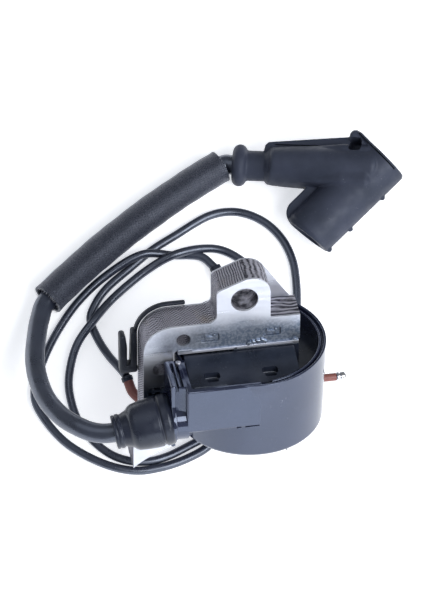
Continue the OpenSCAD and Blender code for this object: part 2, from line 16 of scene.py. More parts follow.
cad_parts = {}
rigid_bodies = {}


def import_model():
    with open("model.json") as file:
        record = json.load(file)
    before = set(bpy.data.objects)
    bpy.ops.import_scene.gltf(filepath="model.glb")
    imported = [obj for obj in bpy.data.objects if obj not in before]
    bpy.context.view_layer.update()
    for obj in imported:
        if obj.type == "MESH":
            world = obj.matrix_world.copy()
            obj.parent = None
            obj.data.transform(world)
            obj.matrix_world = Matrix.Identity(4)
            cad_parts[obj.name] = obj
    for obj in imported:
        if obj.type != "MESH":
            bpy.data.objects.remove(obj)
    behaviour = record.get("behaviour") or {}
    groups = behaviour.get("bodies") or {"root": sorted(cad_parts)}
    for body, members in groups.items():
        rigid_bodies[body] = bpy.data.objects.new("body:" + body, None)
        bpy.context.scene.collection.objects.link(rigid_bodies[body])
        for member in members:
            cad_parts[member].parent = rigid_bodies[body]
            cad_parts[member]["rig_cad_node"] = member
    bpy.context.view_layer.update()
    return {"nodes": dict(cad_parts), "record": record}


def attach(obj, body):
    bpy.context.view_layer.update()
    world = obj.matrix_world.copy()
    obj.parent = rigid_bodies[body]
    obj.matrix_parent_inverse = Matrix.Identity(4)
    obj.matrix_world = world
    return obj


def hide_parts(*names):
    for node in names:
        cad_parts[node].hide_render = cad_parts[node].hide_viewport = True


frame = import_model()
nodes = frame["nodes"]
scene = bpy.context.scene
rng = random.Random(7)

MM = 0.001
STACK_T = 12.6
PLATE_T = 0.8
POT_X, POT_Y, POT_R = 2.8, 6.3, 26.6
POT_WALL = 2.0
RIM_Z, POT_BOTTOM = -22.3, -54.5
BLOCK_LEFT, BLOCK_FRONT, BLOCK_BACK = -24.0, -20.3, -1.0
BLOCK_BOTTOM = RIM_Z - 18.2
LEG_X, LEG_W = 2.8, 10.7
LEG_LEFT, LEG_RIGHT = LEG_X - LEG_W / 2, LEG_X + LEG_W / 2
BAR_TOP, BAR_BOTTOM = -8.9, -19.4
BAR_LEFT, BAR_RIGHT, SHOULDER_R = -35.9, 19.8, 10.5
EAR_LEFT, EAR_RIGHT, EAR_TOP = -9.9, 9.3, 8.9
POLE_MID_X, POLE_TIP = -12.0, -69.0
SHOE_LEFT, SHOE_TOP = -39.6, -52.0
FLYWHEEL_R = 42.0
HOLES = (((0, 0), 4.8), ((-21.7, -14.9), 2.5), ((-30.1, -26.6), 2.5))
STAKES = ((-12.2, -15.1), (9.6, -15.1), (-31, -36), (-32, -57))
STAKE_W, STAKE_H = 6.4, 3.3
TOWER_BASE, TOWER_DROOP, BOOT_LEN = Vector((-29.2, -12.5, -38.9)), 10.5, 19.8
TOWER_ROOT_R, BOOT_END_R = 7.7, 6.2
LEAD_D, WIRE_D, SLEEVE_D, KILL_D = 7.0, 3.0, 11.9, 3.6
END_R = 2.1   # of the collar and the terminal on the thin wire
STUB_X, STUB_Y, STUB_Z = 27.5, 15.4, -50.0
STUB_LEN, FERRULE_LEN = 8.1, 3.3
KILL_OUT = Vector((-20, 15, -50))

# How far the coil leans back, to rest on the pot's lower edge and the pole tips
LEAN = atan((POT_BOTTOM - POLE_TIP) / (POT_Y + POT_R - STACK_T))


def leaned(p):
    """A direction or place of the upright coil after it has leaned back."""
    return Vector((p[0], p[1] * cos(LEAN) + p[2] * sin(LEAN), -p[1] * sin(LEAN) + p[2] * cos(LEAN)))


COIL_LEFT = TOWER_BASE.x - BOOT_LEN * cos(radians(TOWER_DROOP)) - BOOT_END_R * sin(radians(TOWER_DROOP))
COIL_RIGHT = STUB_X + STUB_LEN + FERRULE_LEN
SEAT_AT = Vector((
    -(COIL_LEFT + COIL_RIGHT) / 2,
    -(leaned((0, POT_Y - POT_R, POT_BOTTOM)).y + leaned((0, STACK_T, EAR_TOP)).y) / 2,
    -leaned((0, STACK_T, POLE_TIP)).z,
))


def seat(p):
    return SEAT_AT + leaned(p)


BENCH = Matrix.Scale(MM, 4)
SEAT = BENCH @ Matrix.Translation(SEAT_AT) @ Matrix.Rotation(-LEAN, 4, "X")
# Frame of the lead tower: z along the lead, away from the pot, x towards the pot's underside
TOWER_IN_SEAT = Matrix.Translation(TOWER_BASE) @ Matrix.Rotation(radians(-90 - TOWER_DROOP), 4, "Y")
CAP_AT, CAP_TURN, CAP_PITCH = Vector((18.6, 83.4, 7.1)), radians(-12.63), radians(12)
CAP_AXIS = Vector((cos(CAP_TURN) * cos(CAP_PITCH), sin(CAP_TURN) * cos(CAP_PITCH), sin(CAP_PITCH)))
CAP_IN_BENCH = Matrix.Translation(CAP_AT) @ Matrix.Rotation(CAP_TURN, 4, "Z") \
    @ Matrix.Rotation(pi / 2 - CAP_PITCH, 4, "Y")
BARREL_TURN, BARREL_TILT, BARREL_LEN = radians(36.1), radians(13.9), 40.3
BARREL_AXIS = Vector((cos(BARREL_TURN) * cos(BARREL_TILT), sin(BARREL_TURN) * cos(BARREL_TILT),
                      sin(BARREL_TILT)))
BARREL_MOUTH = CAP_AT + 48.3 * CAP_AXIS - 34 * BARREL_AXIS
BARREL_IN_BENCH = Matrix.Translation(BARREL_MOUTH) @ Matrix.Rotation(BARREL_TURN, 4, "Z") \
    @ Matrix.Rotation(pi / 2 - BARREL_TILT, 4, "Y")


def on_tower(t):
    return seat(TOWER_IN_SEAT @ Vector((0, 0, t)))


def on_cap(t):
    return CAP_AT + t * CAP_AXIS


# -------- camera, light and floor

VIEW_RIGHT = Vector((0.985, -0.1414, 0.1014)).normalized()
VIEW_BACK = Vector((-0.139, -0.289, 0.948)).normalized()
VIEW_UP = VIEW_BACK.cross(VIEW_RIGHT).normalized()
VIEW_RIGHT = VIEW_UP.cross(VIEW_BACK)
VIEW_HEIGHT, VIEW_DISTANCE, SENSOR = 0.2098, 6.0, 36
EAR_RIGHT_OF_VIEW = 11.4
VIEW_AT = (seat((0, 0, 0)) - EAR_RIGHT_OF_VIEW * VIEW_RIGHT) * MM

camera = bpy.data.objects.new("camera", bpy.data.cameras.new("camera"))
scene.collection.objects.link(camera)
camera.matrix_world = Matrix((
    (VIEW_RIGHT.x, VIEW_UP.x, VIEW_BACK.x, 0),
    (VIEW_RIGHT.y, VIEW_UP.y, VIEW_BACK.y, 0),
    (VIEW_RIGHT.z, VIEW_UP.z, VIEW_BACK.z, 0),
    (0, 0, 0, 1),
))
camera.location = VIEW_AT + VIEW_DISTANCE * VIEW_BACK
camera.data.sensor_width = SENSOR
camera.data.lens = SENSOR * VIEW_DISTANCE / VIEW_HEIGHT
camera.data.clip_end = 30
scene.camera = camera
scene.view_settings.view_transform = "Standard"


def area_light(name, place, size, power, colour=(1, 1, 1)):
    """A rectangular lamp that faces the coil."""
    data = bpy.data.lights.new(name, "AREA")
    data.shape, data.size, data.size_y = "RECTANGLE", size[0], size[1]
    data.energy, data.color = power, colour
    light = bpy.data.objects.new(name, data)
    scene.collection.objects.link(light)
    light.location = place
    light.rotation_euler = (Vector((0, 0, 0.02)) - Vector(place)).to_track_quat("-Z", "Y").to_euler()
    return light


area_light("key_light", (0.5, -0.42, 0.85), (0.95, 0.8), 11.5)
area_light("top_light", (-0.5, 0.35, 1.1), (0.9, 0.9), 1.7, (0.92, 0.95, 1))
front_light = area_light("front_light", (0.15, -0.7, 0.0), (0.7, 0.6), 2.45, (0.9, 0.94, 1))
front_light.rotation_euler = (pi / 2, 0, 0)
world = bpy.data.worlds.new("studio")
world.use_nodes = True
world.node_tree.nodes["Background"].inputs["Color"].default_value = (0.93, 0.96, 1, 1)
world.node_tree.nodes["Background"].inputs["Strength"].default_value = 0.24
scene.world = world

# -------- materials

# Across, up and through the leaning core
CORE_AXES = [SEAT.to_3x3().normalized() @ Vector(v) for v in ((1, 0, 0), (0, 0, 1), (0, 1, 0))]


class Shader:
    """A node material under construction: one Principled shader, with object coordinates in metres."""

    def __init__(self, name, **constants):
        self.material = bpy.data.materials.new(name)
        self.material.use_nodes = True
        self.tree = self.material.node_tree
        self.main = self.tree.nodes["Principled BSDF"]
        for key, value in constants.items():
            self.main.inputs[key.replace("_", " ").title().replace("Ior", "IOR")].default_value = value
        self.where = self.add("ShaderNodeTexCoord").outputs["Object"]

    def dot(self, a, b):
        return self.add("ShaderNodeVectorMath", {0: a, 1: b}, operation="DOT_PRODUCT").outputs["Value"]

    def core_place(self):
        """Position across, up and through the leaning core, in millimetres from its ear hole."""
        origin = [SEAT.translation.dot(axis) for axis in CORE_AXES]
        return [self.times(self.maths("SUBTRACT", self.dot(self.where, axis), at), 1000)
                for axis, at in zip(CORE_AXES, origin)]

    def add(self, kind, link=(), **values):
        node = self.tree.nodes.new(kind)
        for key, value in values.items():
            setattr(node, key, value)
        for socket, source in dict(link).items():
            target = node.inputs[socket]
            if isinstance(source, bpy.types.NodeSocket):
                self.tree.links.new(source, target)
            else:
                target.default_value = source
        return node

    def noise(self, scale, detail=3, stretch=None, kind="ShaderNodeTexNoise"):
        """A noise of so many features to the metre."""
        at = self.where
        if stretch:
            at = self.add("ShaderNodeMapping", {"Vector": at, "Scale": stretch}).outputs[0]
        node = self.add(kind, {"Vector": at, "Scale": scale})
        if "Detail" in node.inputs:
            node.inputs["Detail"].default_value = detail
        return node.outputs[0]

    def ramp(self, source, low, high, a=0.0, b=1.0):
        """Goes from a to b as the source goes from low to high, and stays within them."""
        return self.add("ShaderNodeMapRange", {"Value": source, "From Min": low, "From Max": high,
                                               "To Min": a, "To Max": b}).outputs[0]

    def maths(self, operation, a, b):
        return self.add("ShaderNodeMath", {0: a, 1: b}, operation=operation).outputs[0]

    def times(self, a, b):
        return self.maths("MULTIPLY", a, b)

    def blend(self, factor, a, b):
        """Passes from value a to value b as the factor goes from 0 to 1."""
        return self.maths("ADD", self.times(a, self.ramp(factor, 0, 1, 1, 0)), self.times(b, factor))

    def mix(self, factor, a, b):
        """Passes from colour a to colour b as the factor goes from 0 to 1."""
        node = self.add("ShaderNodeMix", data_type="RGBA")
        for socket, source in ((node.inputs[0], factor), (node.inputs[6], a), (node.inputs[7], b)):
            if isinstance(source, bpy.types.NodeSocket):
                self.tree.links.new(source, socket)
            elif isinstance(source, tuple):
                socket.default_value = (*source, 1)
            else:
                socket.default_value = source
        return node.outputs[2]

    def bump(self, height, distance):
        """Adds a bump of the height given, in metres, on top of those already there."""
        node = self.add("ShaderNodeBump", {"Height": height, "Distance": distance, "Strength": 1})
        last = self.main.inputs["Normal"].links
        if last:
            self.tree.links.new(last[0].from_socket, node.inputs["Normal"])
        self.tree.links.new(node.outputs[0], self.main.inputs["Normal"])

    def set(self, socket, source):
        self.tree.links.new(source, self.main.inputs[socket])


def moulded(name, colour, light, roughness, grain=2500, grain_depth=4e-6, ripple=0.0, wear=0.35, ior=1.5,
            tint=(0.82, 0.89, 1, 1)):
    """Plastic or rubber: cloudy colour, uneven gloss, fine grain, and paler scuffs and dust."""
    s = Shader(name, ior=ior, specular_tint=tint)
    cloud = s.ramp(s.noise(90, 4), 0.35, 0.65)
    dust = s.ramp(s.noise(1400, 2), 0.66, 0.78, 0, wear)
    patch = s.ramp(s.noise(160, 2), 0.45, 0.7)
    s.set("Base Color", s.mix(s.times(dust, patch), s.mix(cloud, colour, light), (0.3, 0.31, 0.34)))
    s.set("Roughness", s.ramp(s.noise(220, 5), 0.3, 0.7, roughness * 0.75, roughness * 1.3))
    if ripple:
        s.bump(s.noise(70, 1), ripple)
    s.bump(s.noise(grain, 2), grain_depth)
    return s.material


def plated_steel():
    """Bright zinc on sheet steel, with rolling lines and scratches; painted reflections make the bar bluer
    and darker low down and the plate dark navy near the boot.
    """
    s = Shader("plated_steel", metallic=0.85)
    across, up, through = s.core_place()
    speckle = s.ramp(s.noise(1100, 3), 0.42, 0.6)
    # Painted reflection: the bar's lower part, more so to the right, is painted a darker blue where it would
    # mirror the dark deck in front of it
    low = s.ramp(s.maths("ADD", up, s.ramp(s.noise(110, 3), 0.3, 0.7, -1.6, 1.6)), -13.5, -7.5, 1, 0)
    right = s.ramp(across, -34, -8, 0.25, 1)
    blotch = s.ramp(s.noise(120, 4), 0.35, 0.68)
    lines = s.noise(900, 3, stretch=(0.07, 1, 1))
    scratch = s.ramp(s.noise(240, 2, stretch=(0.25, 1, 2.2), kind="ShaderNodeTexVoronoi"), 0.0, 0.035, 1, 0)
    pale = s.mix(blotch, (0.58, 0.60, 0.67), (0.66, 0.68, 0.745))
    reflected_blue = s.mix(speckle, (0.19, 0.235, 0.32), (0.36, 0.41, 0.50))
    shade = s.times(s.times(low, right), s.ramp(up, -19.7, -19.3))
    base = s.mix(shade, pale, reflected_blue)
    # Painted reflection and shade: the front plate is painted dark navy low down, around the boot
    painted_dark_near_boot = s.times(s.ramp(up, -36, -20, 1, 0), s.ramp(up, -56, -50))
    base = s.mix(s.times(painted_dark_near_boot, s.ramp(through, 1, 2, 1, 0)), base, (0.022, 0.032, 0.055))
    s.set("Base Color", s.mix(s.times(scratch, 0.5), base, (0.32, 0.34, 0.38)))
    s.set("Roughness", s.ramp(lines, 0.3, 0.7, 0.26, 0.46))
    s.bump(lines, 6e-6)
    s.bump(scratch, 1.5e-5)
    return s.material


def lamination_steel():
    """Cut edges of silicon-steel sheet: shear marks across the stack, and layers at the bar's right end."""
    s = Shader("lamination_steel", metallic=0.75)
    across, up, through = s.core_place()
    normal = s.add("ShaderNodeNewGeometry").outputs["Normal"]
    outline = s.maths("SUBTRACT", s.times(across, s.dot(normal, CORE_AXES[1])),
                      s.times(up, s.dot(normal, CORE_AXES[0])))
    waves = s.ramp(s.noise(260, 2), 0.3, 0.7, -1.5, 1.5)
    bar = s.ramp(across, -11, -10, 1, 0)
    aslant = s.times(s.maths("ADD", outline, s.times(through, 0.9)), tau / 1.1)
    phase = s.blend(bar, s.times(outline, tau / 0.84), aslant)
    marks = s.maths("SINE", s.maths("ADD", phase, waves), 0)
    slow = s.ramp(s.noise(170, 2, stretch=(0.6, 1, 1)), 0.3, 0.7, -4, 4)
    layers = s.maths("SINE", s.maths("ADD", s.times(through, tau / 1.9), slow), 0)
    right_end = s.ramp(across, 8.6, 9.6)
    lines = s.blend(right_end, marks, layers)
    patchy = s.ramp(s.noise(190, 3), 0.36, 0.62, 0.25, 1)
    light = s.ramp(s.times(lines, patchy), -0.5, 0.5)
    grit = s.ramp(s.noise(2300, 2), 0.4, 0.66)
    tone = s.mix(light, (0.03, 0.031, 0.045), (0.52, 0.52, 0.60))
    stain = s.mix(light, (0.05, 0.043, 0.036), (0.56, 0.51, 0.46))
    warm = s.mix(s.ramp(s.noise(75, 3), 0.6, 0.8), tone, stain)
    s.set("Base Color", s.mix(s.times(grit, 0.2), warm, (0.26, 0.26, 0.31)))
    s.set("Roughness", s.ramp(s.noise(500, 3), 0.3, 0.7, 0.38, 0.62))
    s.bump(grit, 1.5e-5)
    s.bump(light, 3e-5)
    return s.material


def bright_metal(name, colour, roughness=0.16):
    """Bare metal with clouds of tarnish."""
    s = Shader(name, metallic=1.0)
    tarnish = s.ramp(s.noise(500, 4), 0.4, 0.7)
    s.set("Base Color", s.mix(tarnish, colour, tuple(0.6 * c for c in colour)))
    s.set("Roughness", s.ramp(tarnish, 0, 1, roughness, roughness * 2.2))
    s.bump(s.noise(2500, 2), 5e-6)
    return s.material


def braid():
    """Glass-fibre sleeve: two sets of strands crossing at a slant, u along the sleeve and v around it; with
    painted glints on the strands' tops and painted shade where the weave dips.
    """
    s = Shader("woven_sleeve", sheen_weight=0.12, sheen_roughness=0.5, sheen_tint=(0.6, 0.7, 1, 1),
               specular_tint=(0.75, 0.82, 1, 1), ior=1.7)
    uv = s.add("ShaderNodeUVMap", uv_map="along_around").outputs[0]
    split = s.add("ShaderNodeSeparateXYZ", {0: uv})
    along, around = split.outputs[0], split.outputs[1]
    ways = []
    for way in ("ADD", "SUBTRACT"):
        phase = s.times(s.maths(way, along, around), pi)
        ways.append(s.maths("ABSOLUTE", s.maths("SINE", phase, 0), 0))
    over = s.maths("GREATER_THAN", s.maths("SINE", s.times(along, pi), 0), 0)
    height = s.maths("MAXIMUM", ways[0], s.times(ways[1], s.ramp(over, 0, 1, 0.86, 1.0)))
    fibre = s.noise(3500, 2)
    glint_patches = s.ramp(s.noise(260, 4), 0.42, 0.7)
    # Painted highlight: pale glints on the tops of the strands, stronger in patches
    glint = s.times(s.ramp(height, 0.75, 1), s.ramp(fibre, 0.45, 0.75))
    # Painted shade: the weave's colour darkens where the strands dip
    base = s.mix(s.ramp(height, 0.3, 1), (0.004, 0.005, 0.009), (0.02, 0.023, 0.036))
    s.set("Base Color", s.mix(s.times(glint, s.ramp(glint_patches, 0, 1, 0.25, 0.9)), base, (0.2, 0.215, 0.28)))
    s.set("Roughness", s.ramp(fibre, 0.3, 0.7, 0.2, 0.42))
    s.bump(height, 1.6e-4)
    s.bump(fibre, 2.5e-5)
    return s.material


def banded(name, colour, dark, pitch_mm, across, roughness, metallic=0.0):
    """Wound wire or a printed board: fine bands along an axis, with uneven colour."""
    s = Shader(name, metallic=metallic)
    scale = 1000 / pitch_mm / 20 * tau / 2
    wave = s.add("ShaderNodeTexWave", {"Vector": s.where, "Scale": scale, "Distortion": 1.5},
                 bands_direction=across).outputs[1]
    s.set("Base Color", s.mix(s.ramp(wave, 0.2, 0.9), dark, colour))
    s.set("Roughness", s.ramp(s.noise(600, 3), 0.3, 0.7, roughness * 0.8, roughness * 1.3))
    s.bump(wave, 8e-5)
    return s.material


MATERIALS = {
    "lamination_steel": lamination_steel(),
    "plated_steel": plated_steel(),
    "black_gloss": moulded("black_gloss", (0.012, 0.015, 0.036), (0.017, 0.021, 0.048), 0.12, ripple=2e-5,
                           grain_depth=1e-6, wear=0.5, ior=2.0, tint=(0.68, 0.78, 1, 1)),
    "black_matte": moulded("black_matte", (0.009, 0.011, 0.018), (0.017, 0.02, 0.031), 0.36,
                           grain_depth=1e-5),
    "boot_rubber": moulded("boot_rubber", (0.012, 0.015, 0.027), (0.021, 0.025, 0.042), 0.3, ripple=1.2e-4,
                           grain_depth=6e-6),
    "cap_rubber": moulded("cap_rubber", (0.028, 0.034, 0.055), (0.041, 0.048, 0.077), 0.54, grain=1800,
                          grain_depth=1.2e-5, ripple=8e-5, ior=1.42),
    "lead_sheath": moulded("lead_sheath", (0.016, 0.019, 0.031), (0.025, 0.03, 0.048), 0.3, ior=2.1,
                           tint=(0.74, 0.82, 1, 1)),
    "woven_sleeve": braid(),
    "brown_sheath": moulded("brown_sheath", (0.21, 0.07, 0.06), (0.31, 0.12, 0.10), 0.36, grain_depth=8e-6),
    "bright_metal": bright_metal("bright_metal", (0.80, 0.81, 0.84)),
    "brass": bright_metal("brass", (0.75, 0.57, 0.28), 0.28),
    "copper": banded("copper", (0.60, 0.24, 0.10), (0.22, 0.07, 0.03), 0.5, "Z", 0.3, 0.8),
    "bobbin": moulded("bobbin", (0.55, 0.48, 0.34), (0.66, 0.60, 0.46), 0.5),
    "resin": moulded("resin", (0.010, 0.013, 0.023), (0.02, 0.025, 0.041), 0.2, ripple=1.2e-4),
    "board": banded("board", (0.05, 0.22, 0.09), (0.02, 0.12, 0.05), 1.3, "X", 0.35),
    "capacitor": moulded("capacitor", (0.36, 0.04, 0.03), (0.48, 0.07, 0.05), 0.25),
    "component": moulded("component", (0.02, 0.02, 0.024), (0.035, 0.035, 0.04), 0.45),
}


def dress(obj, slot):
    """Gives a piece or a CAD node its material, all over."""
    obj.data.materials.clear()
    obj.data.materials.append(MATERIALS[slot])
    return obj


for part in frame["record"]["subparts"]:
    dress(nodes[part["node"]], part["material_slot"])

FLOOR_HALF = 0.62
SQUARE = ((-1, -1), (1, -1), (1, 1), (-1, 1))
floor_mesh = bpy.data.meshes.new("floor")
floor_mesh.from_pydata([(x * FLOOR_HALF, y * FLOOR_HALF, 0) for x, y in SQUARE], [], [(0, 1, 2, 3)])
floor = bpy.data.objects.new("floor", floor_mesh)
scene.collection.objects.link(floor)
floor_look = Shader("floor", roughness=0.9, specular_ior_level=0.1, emission_color=(0.94, 0.96, 1, 1),
                    emission_strength=0.62)
floor_look.set("Base Color",
               floor_look.mix(floor_look.noise(30, 2), (0.9, 0.905, 0.92), (0.93, 0.935, 0.945)))
floor_mesh.materials.append(floor_look.material)

# -------- geometry helpers

STAND = Matrix.Rotation(pi / 2, 4, "X")     # turns an outline in x and y into one in x and z
ALONG_X = Matrix.Rotation(pi / 2, 4, "Y")   # turns what is drawn along z to lie along x
# Turns an outline in x and y into one in y and z
ACROSS = Matrix(((0, 0, 1, 0), (1, 0, 0, 0), (0, 1, 0, 0), (0, 0, 0, 1)))


def shift(x, y, z):
    return Matrix.Translation((x, y, z))


def link(name, mesh):
    obj = bpy.data.objects.new(name, mesh)
    scene.collection.objects.link(obj)
    return obj


def solid(points, faces):
    mesh = bpy.data.meshes.new("solid")
    mesh.from_pydata([tuple(p) for p in points], [], faces)
    return link("solid", mesh)


def evaluated(obj):
    """A new mesh of what the object shows: a curve filled in, or a mesh with its modifiers."""
    bpy.context.view_layer.update()
    return bpy.data.meshes.new_from_object(obj.evaluated_get(bpy.context.evaluated_depsgraph_get()))


def settle(obj):
    """Applies the object's modifiers to its mesh."""
    mesh = evaluated(obj)
    obj.modifiers.clear()
    obj.data = mesh
    return obj


def modified(obj, kind, **settings):
    modifier = obj.modifiers.new(kind, kind)
    for key, value in settings.items():
        setattr(modifier, key, value)
    return settle(obj)


def boolean(base, operation, *tools):
    """Joins solids to a base, cuts them out of it or keeps what they share; uses the tools up."""
    for tool in tools:
        modifier = base.modifiers.new("boolean", "BOOLEAN")
        modifier.object, modifier.operation, modifier.solver = tool, operation, "EXACT"
    settle(base)
    for tool in tools:
        bpy.data.objects.remove(tool)
    return base


def soften(obj, width, segments=2, angle=35):
    """Rounds the edges that are sharper than an angle."""
    return modified(obj, "BEVEL", width=width, segments=segments, limit_method="ANGLE",
                    angle_limit=radians(angle), harden_normals=False)


def finished(name, bm):
    """An object from a mesh under construction."""
    mesh = bpy.data.meshes.new(name)
    bm.to_mesh(mesh)
    bm.free()
    return link(name, mesh)


def joined(name, objects):
    """One object from several, without merging their solids."""
    bm = bmesh.new()
    for obj in objects:
        bm.from_mesh(obj.data)
        bpy.data.objects.remove(obj)
    return finished(name, bm)


def piece(name, obj, place, slot, body, *replaced, sharp=35):
    """Places a finished solid in the shared frame, dresses it, and puts it in its CAD nodes' place."""
    obj.name = name
    obj.data.transform(place)
    obj.data.shade_smooth()
    obj.data.set_sharp_from_angle(angle=radians(sharp))
    modified(obj, "WEIGHTED_NORMAL", weight=100, keep_sharp=True)
    dress(obj, slot)
    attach(obj, body)
    if replaced:
        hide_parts(*replaced)
    return obj


def arc(cx, cy, r, start, end, steps=12):
    return [(cx + r * cos(radians(start + (end - start) * i / steps)),
             cy + r * sin(radians(start + (end - start) * i / steps))) for i in range(steps + 1)]


def rounded(points, radius, steps=4, closed=False):
    """A line through points with rounded corners; radius is one number, or one for each point."""
    n = len(points)
    out = []
    for i, p in enumerate(points):
        r = radius[i] if isinstance(radius, (list, tuple)) else radius
        if r <= 0 or (not closed and i in (0, n - 1)):
            out.append(tuple(p))
            continue
        p = Vector(p)
        before, after = Vector(points[i - 1]) - p, Vector(points[(i + 1) % n]) - p
        cut = min(r, 0.45 * before.length, 0.45 * after.length)
        a, b = p + cut * before.normalized(), p + cut * after.normalized()
        for k in range(steps + 1):
            f = k / steps
            out.append(tuple((1 - f) ** 2 * a + 2 * f * (1 - f) * p + f ** 2 * b))
    return out


def lathe(profile, sides=96, closed=False):
    """Turns a line of (radius, z) around z. An open line starts and ends on the axis."""
    points, faces, rings = [], [], []
    for r, z in profile:
        if r < 1e-6:
            rings.append([len(points)] * sides)
            points.append((0, 0, z))
        else:
            rings.append(list(range(len(points), len(points) + sides)))
            points += [(r * cos(tau * k / sides), r * sin(tau * k / sides), z) for k in range(sides)]
    pairs = list(zip(rings, rings[1:] + rings[:1])) if closed else list(zip(rings, rings[1:]))
    for a, b in pairs:
        for k in range(sides):
            j = (k + 1) % sides
            face = list(dict.fromkeys((a[k], a[j], b[j], b[k])))
            if len(face) > 2:
                faces.append(face)
    return outward(solid(points, faces))


def drum(r, z0, z1, sides=48):
    """A plain cylinder around z."""
    return lathe([(0, z0), (r, z0), (r, z1), (0, z1)], sides)


def outward(obj):
    """Merges points that meet, and turns every face outward."""
    bm = bmesh.new()
    bm.from_mesh(obj.data)
    bmesh.ops.remove_doubles(bm, verts=bm.verts, dist=1e-4)
    bmesh.ops.recalc_face_normals(bm, faces=bm.faces)
    bm.to_mesh(obj.data)
    bm.free()
    return obj


def moved(obj, place):
    obj.data.transform(place)
    return obj


def sliced(obj, place):
    """Cuts off all that lies below the plane z = 0 of the frame given, and closes the cut."""
    bm = bmesh.new()
    bm.from_mesh(obj.data)
    bmesh.ops.bisect_plane(bm, geom=bm.verts[:] + bm.edges[:] + bm.faces[:], plane_co=place.translation,
                           plane_no=place.to_3x3() @ Vector((0, 0, 1)), clear_inner=True)
    bmesh.ops.holes_fill(bm, edges=bm.edges)
    bm.to_mesh(obj.data)
    bm.free()
    return obj


def block(lo, hi, bevel=0.0):
    """A box between two corners with rounded edges."""
    bm = bmesh.new()
    bmesh.ops.create_cube(bm, size=1)
    for v in bm.verts:
        for axis in range(3):
            v.co[axis] = hi[axis] if v.co[axis] > 0 else lo[axis]
    if bevel:
        bmesh.ops.bevel(bm, geom=bm.edges[:], offset=bevel, segments=3, profile=0.5, affect="EDGES")
    return finished("block", bm)


def prism(outline, z0, z1, bevel=0.0):
    """An outline in x and y made solid from z0 to z1."""
    n = len(outline)
    points = [(*p, z) for z in (z0, z1) for p in outline]
    faces = [list(range(n))[::-1], list(range(n, 2 * n))]
    faces += [[i, (i + 1) % n, n + (i + 1) % n, n + i] for i in range(n)]
    obj = outward(solid(points, faces))
    return soften(obj, bevel, 2, 50) if bevel else obj


def plate(outline, holes, thick, bevel=0.0):
    """A flat plate in x and y, centred on z = 0, with holes and rounded edges."""
    curve = bpy.data.curves.new("plate", "CURVE")
    curve.dimensions, curve.fill_mode = "2D", "BOTH"
    curve.extrude, curve.offset = thick / 2 - bevel, -bevel
    curve.bevel_depth, curve.bevel_resolution = bevel, 1
    for loop in (outline, *holes):
        spline = curve.splines.new("POLY")
        spline.points.add(len(loop) - 1)
        for point, (x, y) in zip(spline.points, loop):
            point.co = (x, y, 0, 1)
        spline.use_cyclic_u = True
    shape = link("plate", curve)
    mesh = evaluated(shape)
    bpy.data.objects.remove(shape)
    return outward(link("from_curve", mesh))


def smooth_path(route, parts):
    """Catmull-Rom curve through a route of points."""
    ends = [2 * route[0] - route[1], *route, 2 * route[-1] - route[-2]]
    out = []
    for i in range(1, len(ends) - 2):
        a, b, c, d = ends[i - 1:i + 3]
        for k in range(parts):
            f = k / parts
            out.append(0.5 * (2 * b + (c - a) * f + (2 * a - 5 * b + 4 * c - d) * f ** 2
                              + (3 * b - a - 3 * c + d) * f ** 3))
    return out + [ends[-2]]


def tube(path, radius, sides=24, uv_around=0, caps=True):
    """A round tube along a path; radius is a number, or a function of the way along, from 0 to 1."""
    points, faces, distance = [], [], [0.0]
    for a, b in zip(path, path[1:]):
        distance.append(distance[-1] + (b - a).length)
    side = None
    for i, p in enumerate(path):
        along = (path[min(i + 1, len(path) - 1)] - path[max(i - 1, 0)]).normalized()
        side = along.orthogonal() if side is None else side - side.dot(along) * along
        side.normalize()
        other = along.cross(side)
        r = radius(distance[i] / distance[-1]) if callable(radius) else radius
        points += [p + r * (cos(tau * k / sides) * side + sin(tau * k / sides) * other) for k in range(sides)]
    for i in range(len(path) - 1):
        for k in range(sides):
            j = (k + 1) % sides
            faces.append((i * sides + k, i * sides + j, (i + 1) * sides + j, (i + 1) * sides + k))
    if caps:
        faces += [list(range(sides))[::-1], list(range((len(path) - 1) * sides, len(path) * sides))]
    obj = solid(points, faces)
    if uv_around:
        layer = obj.data.uv_layers.new(name="along_around")
        pitch = tau * (radius if not callable(radius) else radius(0.5)) / uv_around
        for f, face in enumerate(obj.data.polygons):
            for corner, loop in enumerate(face.loop_indices):
                if f < (len(path) - 1) * sides:
                    i, k = divmod(f, sides)
                    layer.data[loop].uv = (distance[i + (corner in (2, 3))] / pitch,
                                           (k + (corner in (1, 2))) / sides * uv_around)
    return obj


# -------- laminated core

SHEET_PITCH, SHEET_T = 0.66, 0.6
CROWN = (2.5, 2.1, 6.8)   # middle and radius of the round beside the ear's top
FLYWHEEL_Z = POLE_TIP - (FLYWHEEL_R ** 2 - (POLE_MID_X - SHOE_LEFT) ** 2) ** 0.5


def gap_at(x):
    """Height of the pole faces, which follow the flywheel's circle."""
    return FLYWHEEL_Z + (FLYWHEEL_R ** 2 - (x - POLE_MID_X) ** 2) ** 0.5


def along_gap(x0, x1, steps=14):
    return [(x0 + (x1 - x0) * i / steps, gap_at(x0 + (x1 - x0) * i / steps)) for i in range(steps + 1)]


